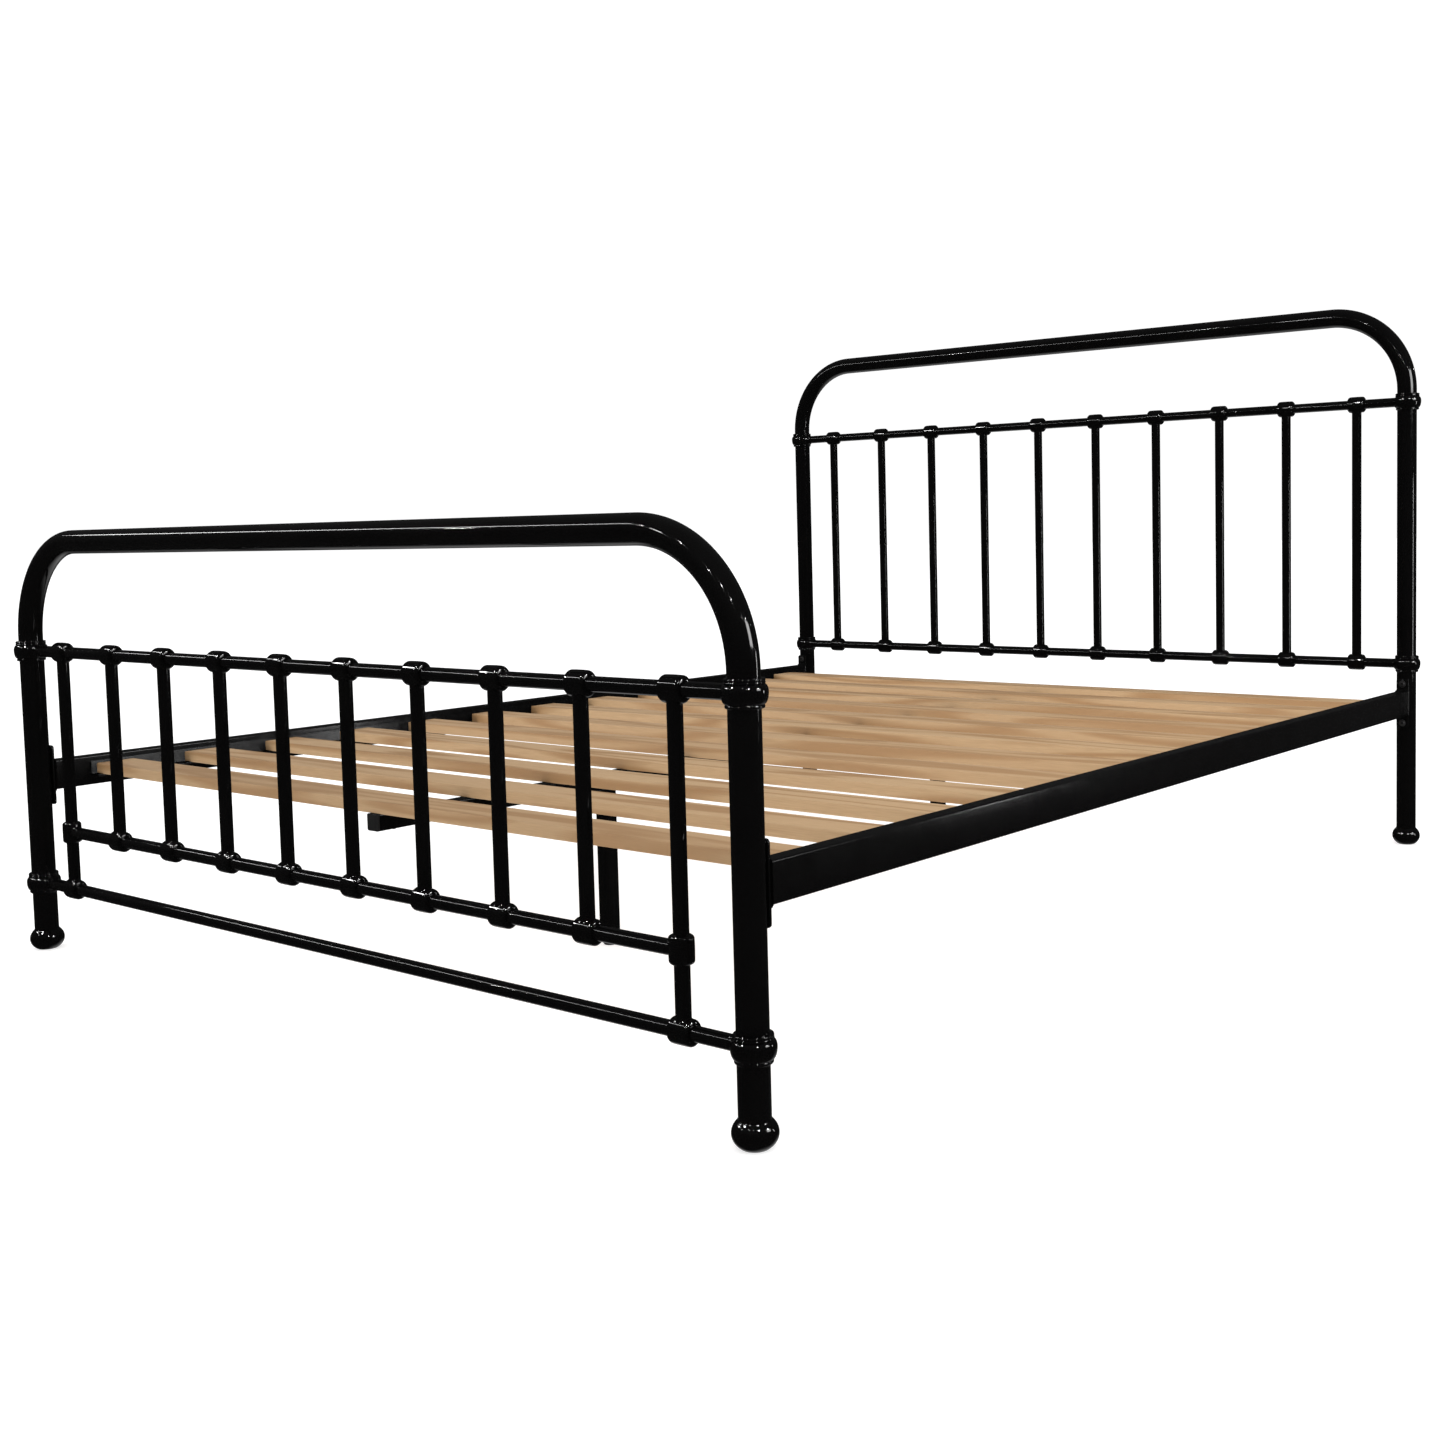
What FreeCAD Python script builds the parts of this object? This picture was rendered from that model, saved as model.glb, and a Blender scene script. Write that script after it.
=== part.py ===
import FreeCAD, Part
import math
import os
import Sketcher

# Metal bed frame with a bent-tube headboard and footboard.
# Millimetres, +Z up, X across the bed, the footboard at -Y and the headboard at +Y.
# The origin is on the floor, in the middle of the bed.

DRIVING = [
    # overall layout, centre line to centre line
    ("width_cc", 1580),
    ("length_cc", 2070),
    ("fit_gap", 0.05),
    # bent hoops
    ("post_od", 38),
    ("post_wall", 1.5),
    ("bend_radius", 157),
    ("post_base_z", 12),
    ("fb_top_z", 685),
    ("fb_upper_z", 505),
    ("fb_lower_z", 208),
    ("fb_bottom_z", 113),
    ("hb_top_z", 1088),
    ("hb_upper_z", 907),
    ("hb_lower_z", 373),
    # cross rails and spindles
    ("rail_od", 19),
    ("rail_wall", 1.2),
    ("spindle_od", 19),
    ("spindle_wall", 1.2),
    ("spindle_count", 10),
    ("spindle_pitch", 152.5),
    # cast knuckles
    ("knuckle_od", 31),
    ("knuckle_length", 37),
    ("knuckle_round", 6.5),
    ("cup_od", 21.5),
    ("cup_reach", 16.5),
    ("cup_round", 0.8),
    # post collars
    ("collar_height", 33),
    ("collar_neck_od", 43.6),
    ("collar_lip_od", 46),
    ("collar_lip_height", 5),
    ("collar_groove", 1.5),
    ("collar_bulge_od", 53),
    # ball feet
    ("ball_od", 54),
    ("ball_height", 34),
    ("ball_centre_z", 19.5),
    # side rails and their end plates
    ("side_rail_width", 25),
    ("side_rail_height", 50),
    ("side_rail_wall", 2),
    ("side_rail_corner", 2.5),
    ("side_rail_base_z", 268),
    ("plate_width", 25),
    ("plate_height", 100),
    ("plate_thick", 4),
    ("plate_corner", 5),
    ("rail_bolt_spacing", 80),
    ("rail_bolt_od", 8),
    ("rail_bolt_length", 20),
    ("rail_bolt_hole", 8.6),
    ("bolt_head_od", 14),
    ("bolt_head_height", 4.4),
    ("bolt_head_rim", 1.2),
    ("bolt_head_top_od", 7.2),
    ("socket_flats", 5),
    ("socket_depth", 2.6),
    ("insert_od", 10),
    ("insert_length", 14),
    # slat ledgers; their shelves are level with the top of the centre beam
    ("shelf_top_z", 287),
    ("ledger_leg", 25),
    ("ledger_thick", 3),
    ("ledger_length", 1900),
    # slats and their screws
    ("slat_count", 12),
    ("slat_width", 68),
    ("slat_thick", 18),
    ("slat_pitch", 165),
    ("slat_end_gap", 2),
    ("slat_round", 2),
    ("screw_od", 4),
    ("screw_hole", 4.5),
    ("screw_bite", 13),
    ("screw_head_od", 8),
    ("screw_head_height", 2.6),
    # centre beam and its legs
    ("beam_size", 25),
    ("beam_wall", 1.5),
    ("beam_corner", 2),
    ("beam_length", 1882),
    ("plug_cap", 4),
    ("plug_grip", 14),
    ("leg_from_board", 553),
    ("leg_base_z", 12),
    ("leg_plate_length", 80),
    ("leg_plate_thick", 3),
    ("leg_bolt_spacing", 56),
    ("leg_bolt_od", 6),
    ("leg_bolt_hole", 6.6),
    ("leg_bolt_flats", 10),
    ("leg_bolt_head", 4),
    ("leg_bolt_length", 16),
    ("leg_nut_od", 11),
    ("leg_nut_height", 5),
    # levelling glides
    ("socket_cap", 4),
    ("socket_grip", 22),
    ("stem_od", 8),
    ("stem_top_z", 46),
    ("glide_od", 25),
    ("glide_foot_od", 21),
    ("glide_edge", 2),
]

DERIVED = [
    ("half_width", "width_cc / 2"),
    ("half_length", "length_cc / 2"),
    ("post_radius", "post_od / 2"),
    ("post_id", "post_od - 2 * post_wall"),
    ("bend_x", "half_width - bend_radius"),
    ("fb_bend_z", "fb_top_z - bend_radius"),
    ("hb_bend_z", "hb_top_z - bend_radius"),
    ("rail_id", "rail_od - 2 * rail_wall"),
    ("spindle_id", "spindle_od - 2 * spindle_wall"),
    ("cross_rail_length", "width_cc - post_od - 2 * fit_gap"),
    ("spindle_row", "(spindle_count - 1) * spindle_pitch"),
    ("row_start", "spindle_row / 2"),
    ("inner_start", "row_start - spindle_pitch"),
    ("inner_count", "spindle_count - 2"),
    ("short_rail_length", "spindle_row - spindle_od - 2 * fit_gap"),
    ("rail_clear", "rail_od / 2 + fit_gap"),
    ("fb_spindle_foot", "fb_lower_z + rail_clear"),
    ("fb_spindle_length", "fb_upper_z - fb_lower_z - 2 * rail_clear"),
    ("fb_outer_foot", "fb_bottom_z + rail_clear"),
    ("fb_outer_length", "fb_upper_z - fb_bottom_z - 2 * rail_clear"),
    ("hb_spindle_foot", "hb_lower_z + rail_clear"),
    ("hb_spindle_length", "hb_upper_z - hb_lower_z - 2 * rail_clear"),
    ("rail_bore", "rail_od + 2 * fit_gap"),
    ("spindle_bore", "spindle_od + 2 * fit_gap"),
    ("knuckle_radius", "knuckle_od / 2"),
    ("knuckle_half", "knuckle_length / 2"),
    ("knuckle_flat", "knuckle_half - knuckle_round"),
    ("knuckle_step", "knuckle_radius - rail_od / 2"),
    ("knuckle_arc", "(knuckle_round^2 + knuckle_step^2) / (2 * knuckle_step)"),
    ("rail_radius", "rail_od / 2"),
    ("collar_bore_r", "post_radius + fit_gap"),
    ("collar_half", "collar_height / 2"),
    ("collar_neck_r", "collar_neck_od / 2"),
    ("lip_low", "collar_half - collar_lip_height"),
    ("bulge_half", "lip_low - collar_groove"),
    ("lip_rise", "(collar_lip_od - collar_neck_od) / 2"),
    ("lip_arc", "(collar_lip_height^2 / 4 + lip_rise^2) / (2 * lip_rise)"),
    ("bulge_rise", "(collar_bulge_od - collar_neck_od) / 2"),
    ("bulge_arc", "(bulge_half^2 + bulge_rise^2) / (2 * bulge_rise)"),
    ("collar_reach", "collar_bulge_od / 2 + 2"),
    ("ball_radius", "ball_od / 2"),
    ("ball_foot_r", "sqrt(ball_radius^2 - ball_centre_z^2)"),
    ("ball_mouth_r", "sqrt(ball_radius^2 - (ball_height - ball_centre_z)^2)"),
    ("ball_bore_r", "post_radius + fit_gap"),
    ("plate_inner_y", "half_length - post_radius - fit_gap - plate_thick"),
    ("side_rail_length", "2 * plate_inner_y"),
    ("side_rail_mid_z", "side_rail_base_z + side_rail_height / 2"),
    ("side_rail_bore_w", "side_rail_width - 2 * side_rail_wall"),
    ("side_rail_bore_h", "side_rail_height - 2 * side_rail_wall"),
    ("bolt_low_z", "side_rail_mid_z - rail_bolt_spacing / 2"),
    ("bolt_high_z", "side_rail_mid_z + rail_bolt_spacing / 2"),
    ("bolt_radius", "rail_bolt_od / 2"),
    ("bolt_head_r", "bolt_head_od / 2"),
    ("bolt_head_top_r", "bolt_head_top_od / 2"),
    ("dome_rise", "bolt_head_height - bolt_head_rim"),
    ("dome_run", "bolt_head_r - bolt_head_top_r"),
    ("dome_arc", "(dome_rise^2 + dome_run^2) / (2 * dome_rise)"),
    ("socket_half", "socket_flats / 2"),
    ("socket_corner", "socket_flats / sqrt(3)"),
    ("socket_side", "socket_corner / 2"),
    ("insert_hole", "insert_od + 2 * fit_gap"),
    ("insert_radius", "insert_od / 2"),
    ("insert_bore_r", "bolt_radius + fit_gap"),
    ("insert_near", "plate_thick + fit_gap"),
    ("insert_far", "insert_near + insert_length"),
    ("shelf_base_z", "shelf_top_z - ledger_thick"),
    ("ledger_top_z", "shelf_base_z + ledger_leg"),
    ("ledger_wall_x", "half_width - side_rail_width / 2"),
    ("ledger_web_x", "ledger_wall_x - ledger_thick"),
    ("ledger_edge_x", "ledger_wall_x - ledger_leg"),
    ("ledger_screw_x", "ledger_wall_x - (ledger_leg + ledger_thick) / 2"),
    ("slat_start", "(slat_count - 1) * slat_pitch / 2"),
    ("slat_length", "2 * (ledger_web_x - slat_end_gap)"),
    ("slat_hole", "screw_od + 2 * fit_gap"),
    ("slat_hole_depth", "screw_bite + 1"),
    ("screw_radius", "screw_od / 2"),
    ("screw_head_r", "screw_head_od / 2"),
    ("ledger_screw_length", "ledger_thick + screw_bite"),
    ("beam_base_z", "shelf_top_z - beam_size"),
    ("beam_mid_z", "shelf_top_z - beam_size / 2"),
    ("beam_bore", "beam_size - 2 * beam_wall"),
    ("beam_half", "beam_length / 2"),
    ("plug_grip_size", "beam_bore - 2 * fit_gap"),
    ("beam_screw_length", "beam_size + screw_bite"),
    ("leg_y", "half_length - leg_from_board"),
    ("leg_top_z", "beam_base_z - leg_plate_thick"),
    ("leg_length", "leg_top_z - leg_base_z"),
    ("leg_bolt_low_z", "leg_top_z - leg_bolt_head"),
    ("leg_bolt_half", "leg_bolt_flats / 2"),
    ("leg_bolt_corner", "leg_bolt_flats / sqrt(3)"),
    ("leg_bolt_side", "leg_bolt_corner / 2"),
    ("leg_bolt_start", "leg_y + leg_bolt_spacing / 2"),
    ("leg_nut_base_z", "beam_base_z + beam_wall"),
    ("leg_nut_bore", "leg_bolt_od + 2 * fit_gap"),
    ("beam_wall_cut", "beam_wall + 1"),
    ("glide_top_z", "leg_base_z - socket_cap"),
    ("socket_bore", "stem_od + 2 * fit_gap"),
    ("socket_height", "socket_cap + socket_grip"),
    ("stem_radius", "stem_od / 2"),
    ("glide_radius", "glide_od / 2"),
    ("glide_foot_r", "glide_foot_od / 2"),
    ("hoop_hole_reach", "post_od / 2 + 5"),
    ("knuckle_cut", "cup_reach + 5"),
]

doc = FreeCAD.newDocument("bed_frame")
dims = doc.addObject("Spreadsheet::Sheet", "dims")


def fill_sheet():
    """Write every driving and derived dimension to the sheet."""
    row = 0
    for name, value in DRIVING:
        row += 1
        dims.set("A%d" % row, name)
        dims.set("B%d" % row, str(value))
        dims.setAlias("B%d" % row, name)
    for name, formula in DERIVED:
        row += 1
        dims.set("A%d" % row, name)
        dims.set("B%d" % row, "=" + formula)
        dims.setAlias("B%d" % row, name)
    doc.recompute()


fill_sheet()

PARTS = []
UP = FreeCAD.Vector(0, 0, 1)


def num(name):
    """Value of a signed dimension name, used to draw the sketches before they are bound."""
    if name == "0":
        return 0.0
    if name.startswith("-"):
        return -num(name[1:])
    return float(dims.get(name))


def bound(name):
    """Expression of a signed dimension name."""
    if name.startswith("-"):
        return "-dims." + name[1:]
    return "dims." + name


def new_body(label, several=False):
    body = doc.addObject("PartDesign::Body", label)
    body.Label = label
    body.AllowCompound = several
    PARTS.append(body)
    return body


def place(body, x=None, y=None, z=None, turn=None):
    """Bind the body's position; turn is (axis, angle)."""
    if turn is not None:
        body.Placement.Rotation = FreeCAD.Rotation(FreeCAD.Vector(*turn[0]), turn[1])
    for letter, value in (("x", x), ("y", y), ("z", z)):
        if value is not None:
            body.setExpression("Placement.Base." + letter, value)


def origin_item(body, role):
    for item in body.Origin.OriginFeatures:
        if item.Role == role:
            return item
    raise ValueError(role)


def new_sketch(body, plane, shift=("0", "0", "0")):
    """Sketch on an origin plane, moved by (sketch x, sketch y, along the normal)."""
    sketch = body.newObject("Sketcher::SketchObject", body.Name + "_sketch")
    sketch.AttachmentSupport = (origin_item(body, plane), [""])
    sketch.MapMode = "FlatFace"
    for letter, name in zip("xyz", shift):
        if name != "0":
            sketch.setExpression("AttachmentOffset.Base." + letter, bound(name))
    return sketch


def hold(sketch, kind, item, end, name):
    """One bound coordinate of a point."""
    if name == "0":
        line = -2 if kind == "DistanceX" else -1
        sketch.addConstraint(Sketcher.Constraint("PointOnObject", item, end, line))
        return
    index = sketch.addConstraint(Sketcher.Constraint(kind, item, end, num(name)))
    sketch.setExpression("Constraints[%d]" % index, bound(name))


def draw_circle(sketch, diameter, x="0", y="0"):
    centre = FreeCAD.Vector(num(x), num(y), 0)
    item = sketch.addGeometry(Part.Circle(centre, UP, num(diameter) / 2), False)
    if x == "0" and y == "0":
        sketch.addConstraint(Sketcher.Constraint("Coincident", item, 3, -1, 1))
    else:
        hold(sketch, "DistanceX", item, 3, x)
        hold(sketch, "DistanceY", item, 3, y)
    index = sketch.addConstraint(Sketcher.Constraint("Diameter", item, num(diameter)))
    sketch.setExpression("Constraints[%d]" % index, bound(diameter))


def arc_between(start, end, radius, side):
    """Arc from start to end with its centre to the left (1) or right (-1) of the way."""
    chord = end.sub(start)
    middle = start.add(end).multiply(0.5)
    normal = FreeCAD.Vector(-chord.y, chord.x, 0).normalize()
    height = math.sqrt(max(radius ** 2 - (chord.Length / 2) ** 2, 0.0))
    centre = middle.add(normal.multiply(side * height))
    first, last = (start, end) if side > 0 else (end, start)
    low = math.atan2(first.y - centre.y, first.x - centre.x)
    high = math.atan2(last.y - centre.y, last.x - centre.x)
    if high <= low:
        high += 2 * math.pi
    return Part.ArcOfCircle(Part.Circle(centre, UP, radius), low, high)


def draw_outline(sketch, points, arcs=None, closed=True):
    """Lines and arcs through bound points. arcs: {segment: (radius name, side)}."""
    arcs = arcs or {}
    count = len(points)
    spots = [FreeCAD.Vector(num(x), num(y), 0) for x, y in points]
    segments = count if closed else count - 1
    first = sketch.GeometryCount
    ends = []
    for index in range(segments):
        start = spots[index]
        end = spots[(index + 1) % count]
        if index in arcs:
            name, side = arcs[index]
            sketch.addGeometry(arc_between(start, end, num(name), side), False)
            ends.append((1, 2) if side > 0 else (2, 1))
        else:
            sketch.addGeometry(Part.LineSegment(start, end), False)
            ends.append((1, 2))
    for index in range(segments):
        after = index + 1
        if after == segments:
            if not closed:
                break
            after = 0
        sketch.addConstraint(Sketcher.Constraint(
            "Coincident", first + index, ends[index][1], first + after, ends[after][0]))
    for index, (x, y) in enumerate(points):
        item, end = (index, 0) if index < segments else (segments - 1, 1)
        hold(sketch, "DistanceX", first + item, ends[item][end], x)
        hold(sketch, "DistanceY", first + item, ends[item][end], y)
    for index, (name, side) in arcs.items():
        number = sketch.addConstraint(
            Sketcher.Constraint("Radius", first + index, num(name)))
        sketch.setExpression("Constraints[%d]" % number, bound(name))


def draw_rectangle(sketch, width, height):
    """Rectangle centred on the sketch's origin."""
    half_w = num(width) / 2
    half_h = num(height) / 2
    corners = [(-half_w, -half_h), (half_w, -half_h), (half_w, half_h), (-half_w, half_h)]
    first = sketch.GeometryCount
    for index in range(4):
        start = FreeCAD.Vector(corners[index][0], corners[index][1], 0)
        end = FreeCAD.Vector(corners[(index + 1) % 4][0], corners[(index + 1) % 4][1], 0)
        sketch.addGeometry(Part.LineSegment(start, end), False)
    for index in range(4):
        sketch.addConstraint(Sketcher.Constraint(
            "Coincident", first + index, 2, first + (index + 1) % 4, 1))
    for index in (0, 2):
        sketch.addConstraint(Sketcher.Constraint("Horizontal", first + index))
        sketch.addConstraint(Sketcher.Constraint("Vertical", first + index + 1))
    sketch.addConstraint(Sketcher.Constraint("Symmetric", first, 1, first + 2, 1, -1, 1))
    for kind, item, name in (("DistanceX", first, width), ("DistanceY", first + 1, height)):
        index = sketch.addConstraint(Sketcher.Constraint(kind, item, 1, item, 2, num(name)))
        sketch.setExpression("Constraints[%d]" % index, bound(name))


def draw_hexagon(sketch, corner, side, half):
    draw_outline(sketch, [
        (corner, "0"), (side, half), ("-" + side, half),
        ("-" + corner, "0"), ("-" + side, "-" + half), (side, "-" + half)])


def add_feature(body, kind, sketch, length, both=False, backward=False):
    feature = body.newObject("PartDesign::" + kind, body.Name + "_" + kind.lower())
    feature.Profile = sketch
    feature.setExpression("Length", bound(length))
    feature.Midplane = both
    feature.Reversed = backward
    sketch.Visibility = False
    body.Tip = feature
    return feature


def revolve(body, sketch, axis="V_Axis"):
    feature = body.newObject("PartDesign::Revolution", body.Name + "_turn")
    feature.Profile = sketch
    feature.ReferenceAxis = (sketch, [axis])
    feature.Angle = 360
    sketch.Visibility = False
    body.Tip = feature
    return feature


def mirror(body, plane, source=None):
    """Mirror the whole body, or only the source feature, about an origin plane."""
    feature = body.newObject("PartDesign::Mirrored", body.Name + "_mirror")
    feature.Originals = [source or body.Tip]
    feature.TransformMode = "Features" if source else "Whole shape"
    feature.MirrorPlane = (origin_item(body, plane), [""])
    body.Tip = feature
    return feature


def repeat(body, axis, pitch, count, source=None):
    """Repeat the whole body, or only the source feature, along an origin axis."""
    feature = body.newObject("PartDesign::LinearPattern", body.Name + "_row")
    feature.Originals = [source or body.Tip]
    feature.TransformMode = "Features" if source else "Whole shape"
    feature.Direction = (origin_item(body, axis), [""])
    feature.Mode = "Spacing"
    if isinstance(count, int):
        feature.Occurrences = count
    else:
        feature.setExpression("Occurrences", bound(count))
    feature.setExpression("Offset", pitch)
    body.Tip = feature
    return feature


def round_edges(body, radius, wanted):
    """Fillet the tip's edges for which wanted(edge) is true."""
    doc.recompute()
    base = body.Tip
    names = []
    for index, edge in enumerate(base.Shape.Edges):
        if wanted(edge):
            names.append("Edge%d" % (index + 1))
    if not names:
        raise ValueError("no edge to round on " + body.Label)
    feature = body.newObject("PartDesign::Fillet", body.Name + "_fillet")
    feature.Base = (base, names)
    feature.setExpression("Radius", bound(radius))
    body.Tip = feature
    doc.recompute()
    return feature


def runs_along(direction):
    def wanted(edge):
        if edge.Curve.TypeId != "Part::GeomLine":
            return False
        return abs(abs(edge.Curve.Direction.dot(direction)) - 1) < 1e-6
    return wanted


ALONG_X = runs_along(FreeCAD.Vector(1, 0, 0))
ALONG_Y = runs_along(FreeCAD.Vector(0, 1, 0))
ALONG_Z = runs_along(FreeCAD.Vector(0, 0, 1))

# Each board is drawn in its own frame: x = 0 in the middle, +y towards the mattress.
BOARDS = {
    "footboard": {"y": "-dims.half_length", "turn": None},
    "headboard": {"y": "dims.half_length", "turn": ((0, 0, 1), 180)},
}


# ---------------------------------------------------------------- boards

def make_hoop(board, top, bend):
    """Round tube bent twice: post, top rail and post in one piece."""
    body = new_body(board + "_hoop")
    path = new_sketch(body, "XZ_Plane")
    draw_outline(path, [
        ("-half_width", "post_base_z"), ("-half_width", bend), ("-bend_x", top),
        ("bend_x", top), ("half_width", bend), ("half_width", "post_base_z")],
        {1: ("bend_radius", -1), 3: ("bend_radius", -1)}, closed=False)
    path.Visibility = False
    ring = new_sketch(body, "XY_Plane", ("-half_width", "0", "post_base_z"))
    draw_circle(ring, "post_od")
    draw_circle(ring, "post_id")
    tube = body.newObject("PartDesign::AdditivePipe", body.Name + "_tube")
    tube.Profile = ring
    tube.Spine = (path, [])
    ring.Visibility = False
    body.Tip = tube
    holes = new_sketch(body, "XZ_Plane")
    draw_circle(holes, "insert_hole", "-half_width", "bolt_low_z")
    draw_circle(holes, "insert_hole", "-half_width", "bolt_high_z")
    cut = add_feature(body, "Pocket", holes, "hoop_hole_reach")
    mirror(body, "YZ_Plane", cut)
    place(body, y=BOARDS[board]["y"], turn=BOARDS[board]["turn"])


def make_cross_rail(board, label, height, length):
    body = new_body(board + label)
    ring = new_sketch(body, "YZ_Plane")
    draw_circle(ring, "rail_od")
    draw_circle(ring, "rail_id")
    add_feature(body, "Pad", ring, length, both=True)
    place(body, y=BOARDS[board]["y"], z="dims." + height, turn=BOARDS[board]["turn"])


def make_spindle(board, number, foot, length):
    body = new_body("%s_spindle_%02d" % (board, number + 1))
    ring = new_sketch(body, "XY_Plane")
    draw_circle(ring, "spindle_od")
    draw_circle(ring, "spindle_id")
    add_feature(body, "Pad", ring, length)
    place(body, x="-dims.row_start + %d * dims.spindle_pitch" % number,
          y=BOARDS[board]["y"], z="dims." + foot)


def knuckle_profile(sketch):
    """Half outline of the barrel, its axis along the sketch's x."""
    draw_outline(sketch, [
        ("-knuckle_half", "0"), ("-knuckle_half", "rail_radius"),
        ("-knuckle_flat", "knuckle_radius"), ("knuckle_flat", "knuckle_radius"),
        ("knuckle_half", "rail_radius"), ("knuckle_half", "0")],
        {1: ("knuckle_arc", -1), 3: ("knuckle_arc", -1)})


def cup_rim(edge):
    """The circular edge at the mouth of the cup."""
    if edge.Curve.TypeId != "Part::GeomCircle":
        return False
    if abs(edge.Curve.Radius - num("cup_od") / 2) > 1e-3:
        return False
    return abs(edge.Curve.Center.z + num("cup_reach")) < 1e-3


def make_knuckles(board, label, start, count, height, cup_up, step="dims.spindle_pitch"):
    """Cast tees: a barrel round the rail and a cup round the end of each spindle."""
    body = new_body(board + label, several=True)
    half = new_sketch(body, "XZ_Plane")
    knuckle_profile(half)
    revolve(body, half, "H_Axis")
    cup = new_sketch(body, "XY_Plane")
    draw_circle(cup, "cup_od")
    add_feature(body, "Pad", cup, "cup_reach", backward=True)
    round_edges(body, "cup_round", cup_rim)
    bore = new_sketch(body, "YZ_Plane")
    draw_circle(bore, "rail_bore")
    add_feature(body, "Pocket", bore, "knuckle_length", both=True)
    seat = new_sketch(body, "XY_Plane")
    draw_circle(seat, "spindle_bore")
    add_feature(body, "Pocket", seat, "knuckle_cut")
    repeat(body, "X_Axis", step, count)
    turn = ((1, 0, 0), 180) if cup_up else None
    place(body, x="-dims." + start, y=BOARDS[board]["y"], z="dims." + height, turn=turn)


def make_outer_knuckles():
    """Barrels round the two outer spindles, each taking one end of the lower rail."""
    body = new_body("footboard_outer_knuckles", several=True)
    half = new_sketch(body, "YZ_Plane", ("0", "0", "-row_start"))
    draw_outline(half, [
        ("0", "-knuckle_half"), ("rail_radius", "-knuckle_half"),
        ("knuckle_radius", "-knuckle_flat"), ("knuckle_radius", "knuckle_flat"),
        ("rail_radius", "knuckle_half"), ("0", "knuckle_half")],
        {1: ("knuckle_arc", 1), 3: ("knuckle_arc", 1)})
    revolve(body, half, "V_Axis")
    cup = new_sketch(body, "YZ_Plane", ("0", "0", "-row_start"))
    draw_circle(cup, "cup_od")
    add_feature(body, "Pad", cup, "cup_reach")
    round_edges(body, "cup_round", lambda edge: (
        edge.Curve.TypeId == "Part::GeomCircle"
        and abs(edge.Curve.Radius - num("cup_od") / 2) < 1e-3
        and abs(edge.Curve.Center.x + num("row_start") - num("cup_reach")) < 1e-3))
    bore = new_sketch(body, "XY_Plane", ("-row_start", "0", "0"))
    draw_circle(bore, "spindle_bore")
    add_feature(body, "Pocket", bore, "knuckle_length", both=True)
    seat = new_sketch(body, "YZ_Plane", ("0", "0", "-row_start"))
    draw_circle(seat, "rail_bore")
    add_feature(body, "Pocket", seat, "knuckle_cut", backward=True)
    mirror(body, "YZ_Plane")
    place(body, y=BOARDS["footboard"]["y"], z="dims.fb_lower_z")


def make_collars(board, low, high):
    """Cast collars where a cross rail meets a post."""
    body = new_body(board + "_post_collars", several=True)
    half = new_sketch(body, "XZ_Plane", ("-half_width", "0", "0"))
    draw_outline(half, [
        ("collar_bore_r", "-collar_half"), ("collar_neck_r", "-collar_half"),
        ("collar_neck_r", "-lip_low"), ("collar_neck_r", "-bulge_half"),
        ("collar_neck_r", "bulge_half"), ("collar_neck_r", "lip_low"),
        ("collar_neck_r", "collar_half"), ("collar_bore_r", "collar_half")],
        {1: ("lip_arc", 1), 3: ("bulge_arc", 1), 5: ("lip_arc", 1)})
    revolve(body, half, "V_Axis")
    side = new_sketch(body, "YZ_Plane", ("0", "0", "-half_width"))
    draw_circle(side, "rail_bore")
    add_feature(body, "Pocket", side, "collar_reach", backward=True)
    mirror(body, "YZ_Plane")
    repeat(body, "Z_Axis", "dims.%s - dims.%s" % (high, low), 2)
    place(body, y=BOARDS[board]["y"], z="dims." + low, turn=BOARDS[board]["turn"])


def make_ball_feet(board):
    body = new_body(board + "_ball_feet", several=True)
    half = new_sketch(body, "XZ_Plane", ("-half_width", "0", "0"))
    draw_outline(half, [
        ("0", "0"), ("ball_foot_r", "0"), ("ball_mouth_r", "ball_height"),
        ("ball_bore_r", "ball_height"), ("ball_bore_r", "post_base_z"),
        ("0", "post_base_z")],
        {1: ("ball_radius", 1)})
    revolve(body, half, "V_Axis")
    mirror(body, "YZ_Plane")
    place(body, y=BOARDS[board]["y"], turn=BOARDS[board]["turn"])


def make_boards():
    make_hoop("footboard", "fb_top_z", "fb_bend_z")
    make_cross_rail("footboard", "_upper_rail", "fb_upper_z", "cross_rail_length")
    make_cross_rail("footboard", "_lower_rail", "fb_lower_z", "short_rail_length")
    make_cross_rail("footboard", "_bottom_rail", "fb_bottom_z", "cross_rail_length")
    total = int(num("spindle_count"))
    for number in range(total):
        if number in (0, total - 1):
            make_spindle("footboard", number, "fb_outer_foot", "fb_outer_length")
        else:
            make_spindle("footboard", number, "fb_spindle_foot", "fb_spindle_length")
    make_knuckles("footboard", "_upper_knuckles", "row_start", "spindle_count",
                  "fb_upper_z", False)
    make_knuckles("footboard", "_lower_knuckles", "inner_start", "inner_count",
                  "fb_lower_z", True)
    make_outer_knuckles()
    make_knuckles("footboard", "_bottom_knuckles", "row_start", 2,
                  "fb_bottom_z", True, step="dims.spindle_row")
    make_collars("footboard", "fb_bottom_z", "fb_upper_z")
    make_ball_feet("footboard")
    make_hoop("headboard", "hb_top_z", "hb_bend_z")
    make_cross_rail("headboard", "_upper_rail", "hb_upper_z", "cross_rail_length")
    make_cross_rail("headboard", "_lower_rail", "hb_lower_z", "cross_rail_length")
    for number in range(total):
        make_spindle("headboard", number, "hb_spindle_foot", "hb_spindle_length")
    make_knuckles("headboard", "_upper_knuckles", "row_start", "spindle_count",
                  "hb_upper_z", False)
    make_knuckles("headboard", "_lower_knuckles", "row_start", "spindle_count",
                  "hb_lower_z", True)
    make_collars("headboard", "hb_lower_z", "hb_upper_z")
    make_ball_feet("headboard")


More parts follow.
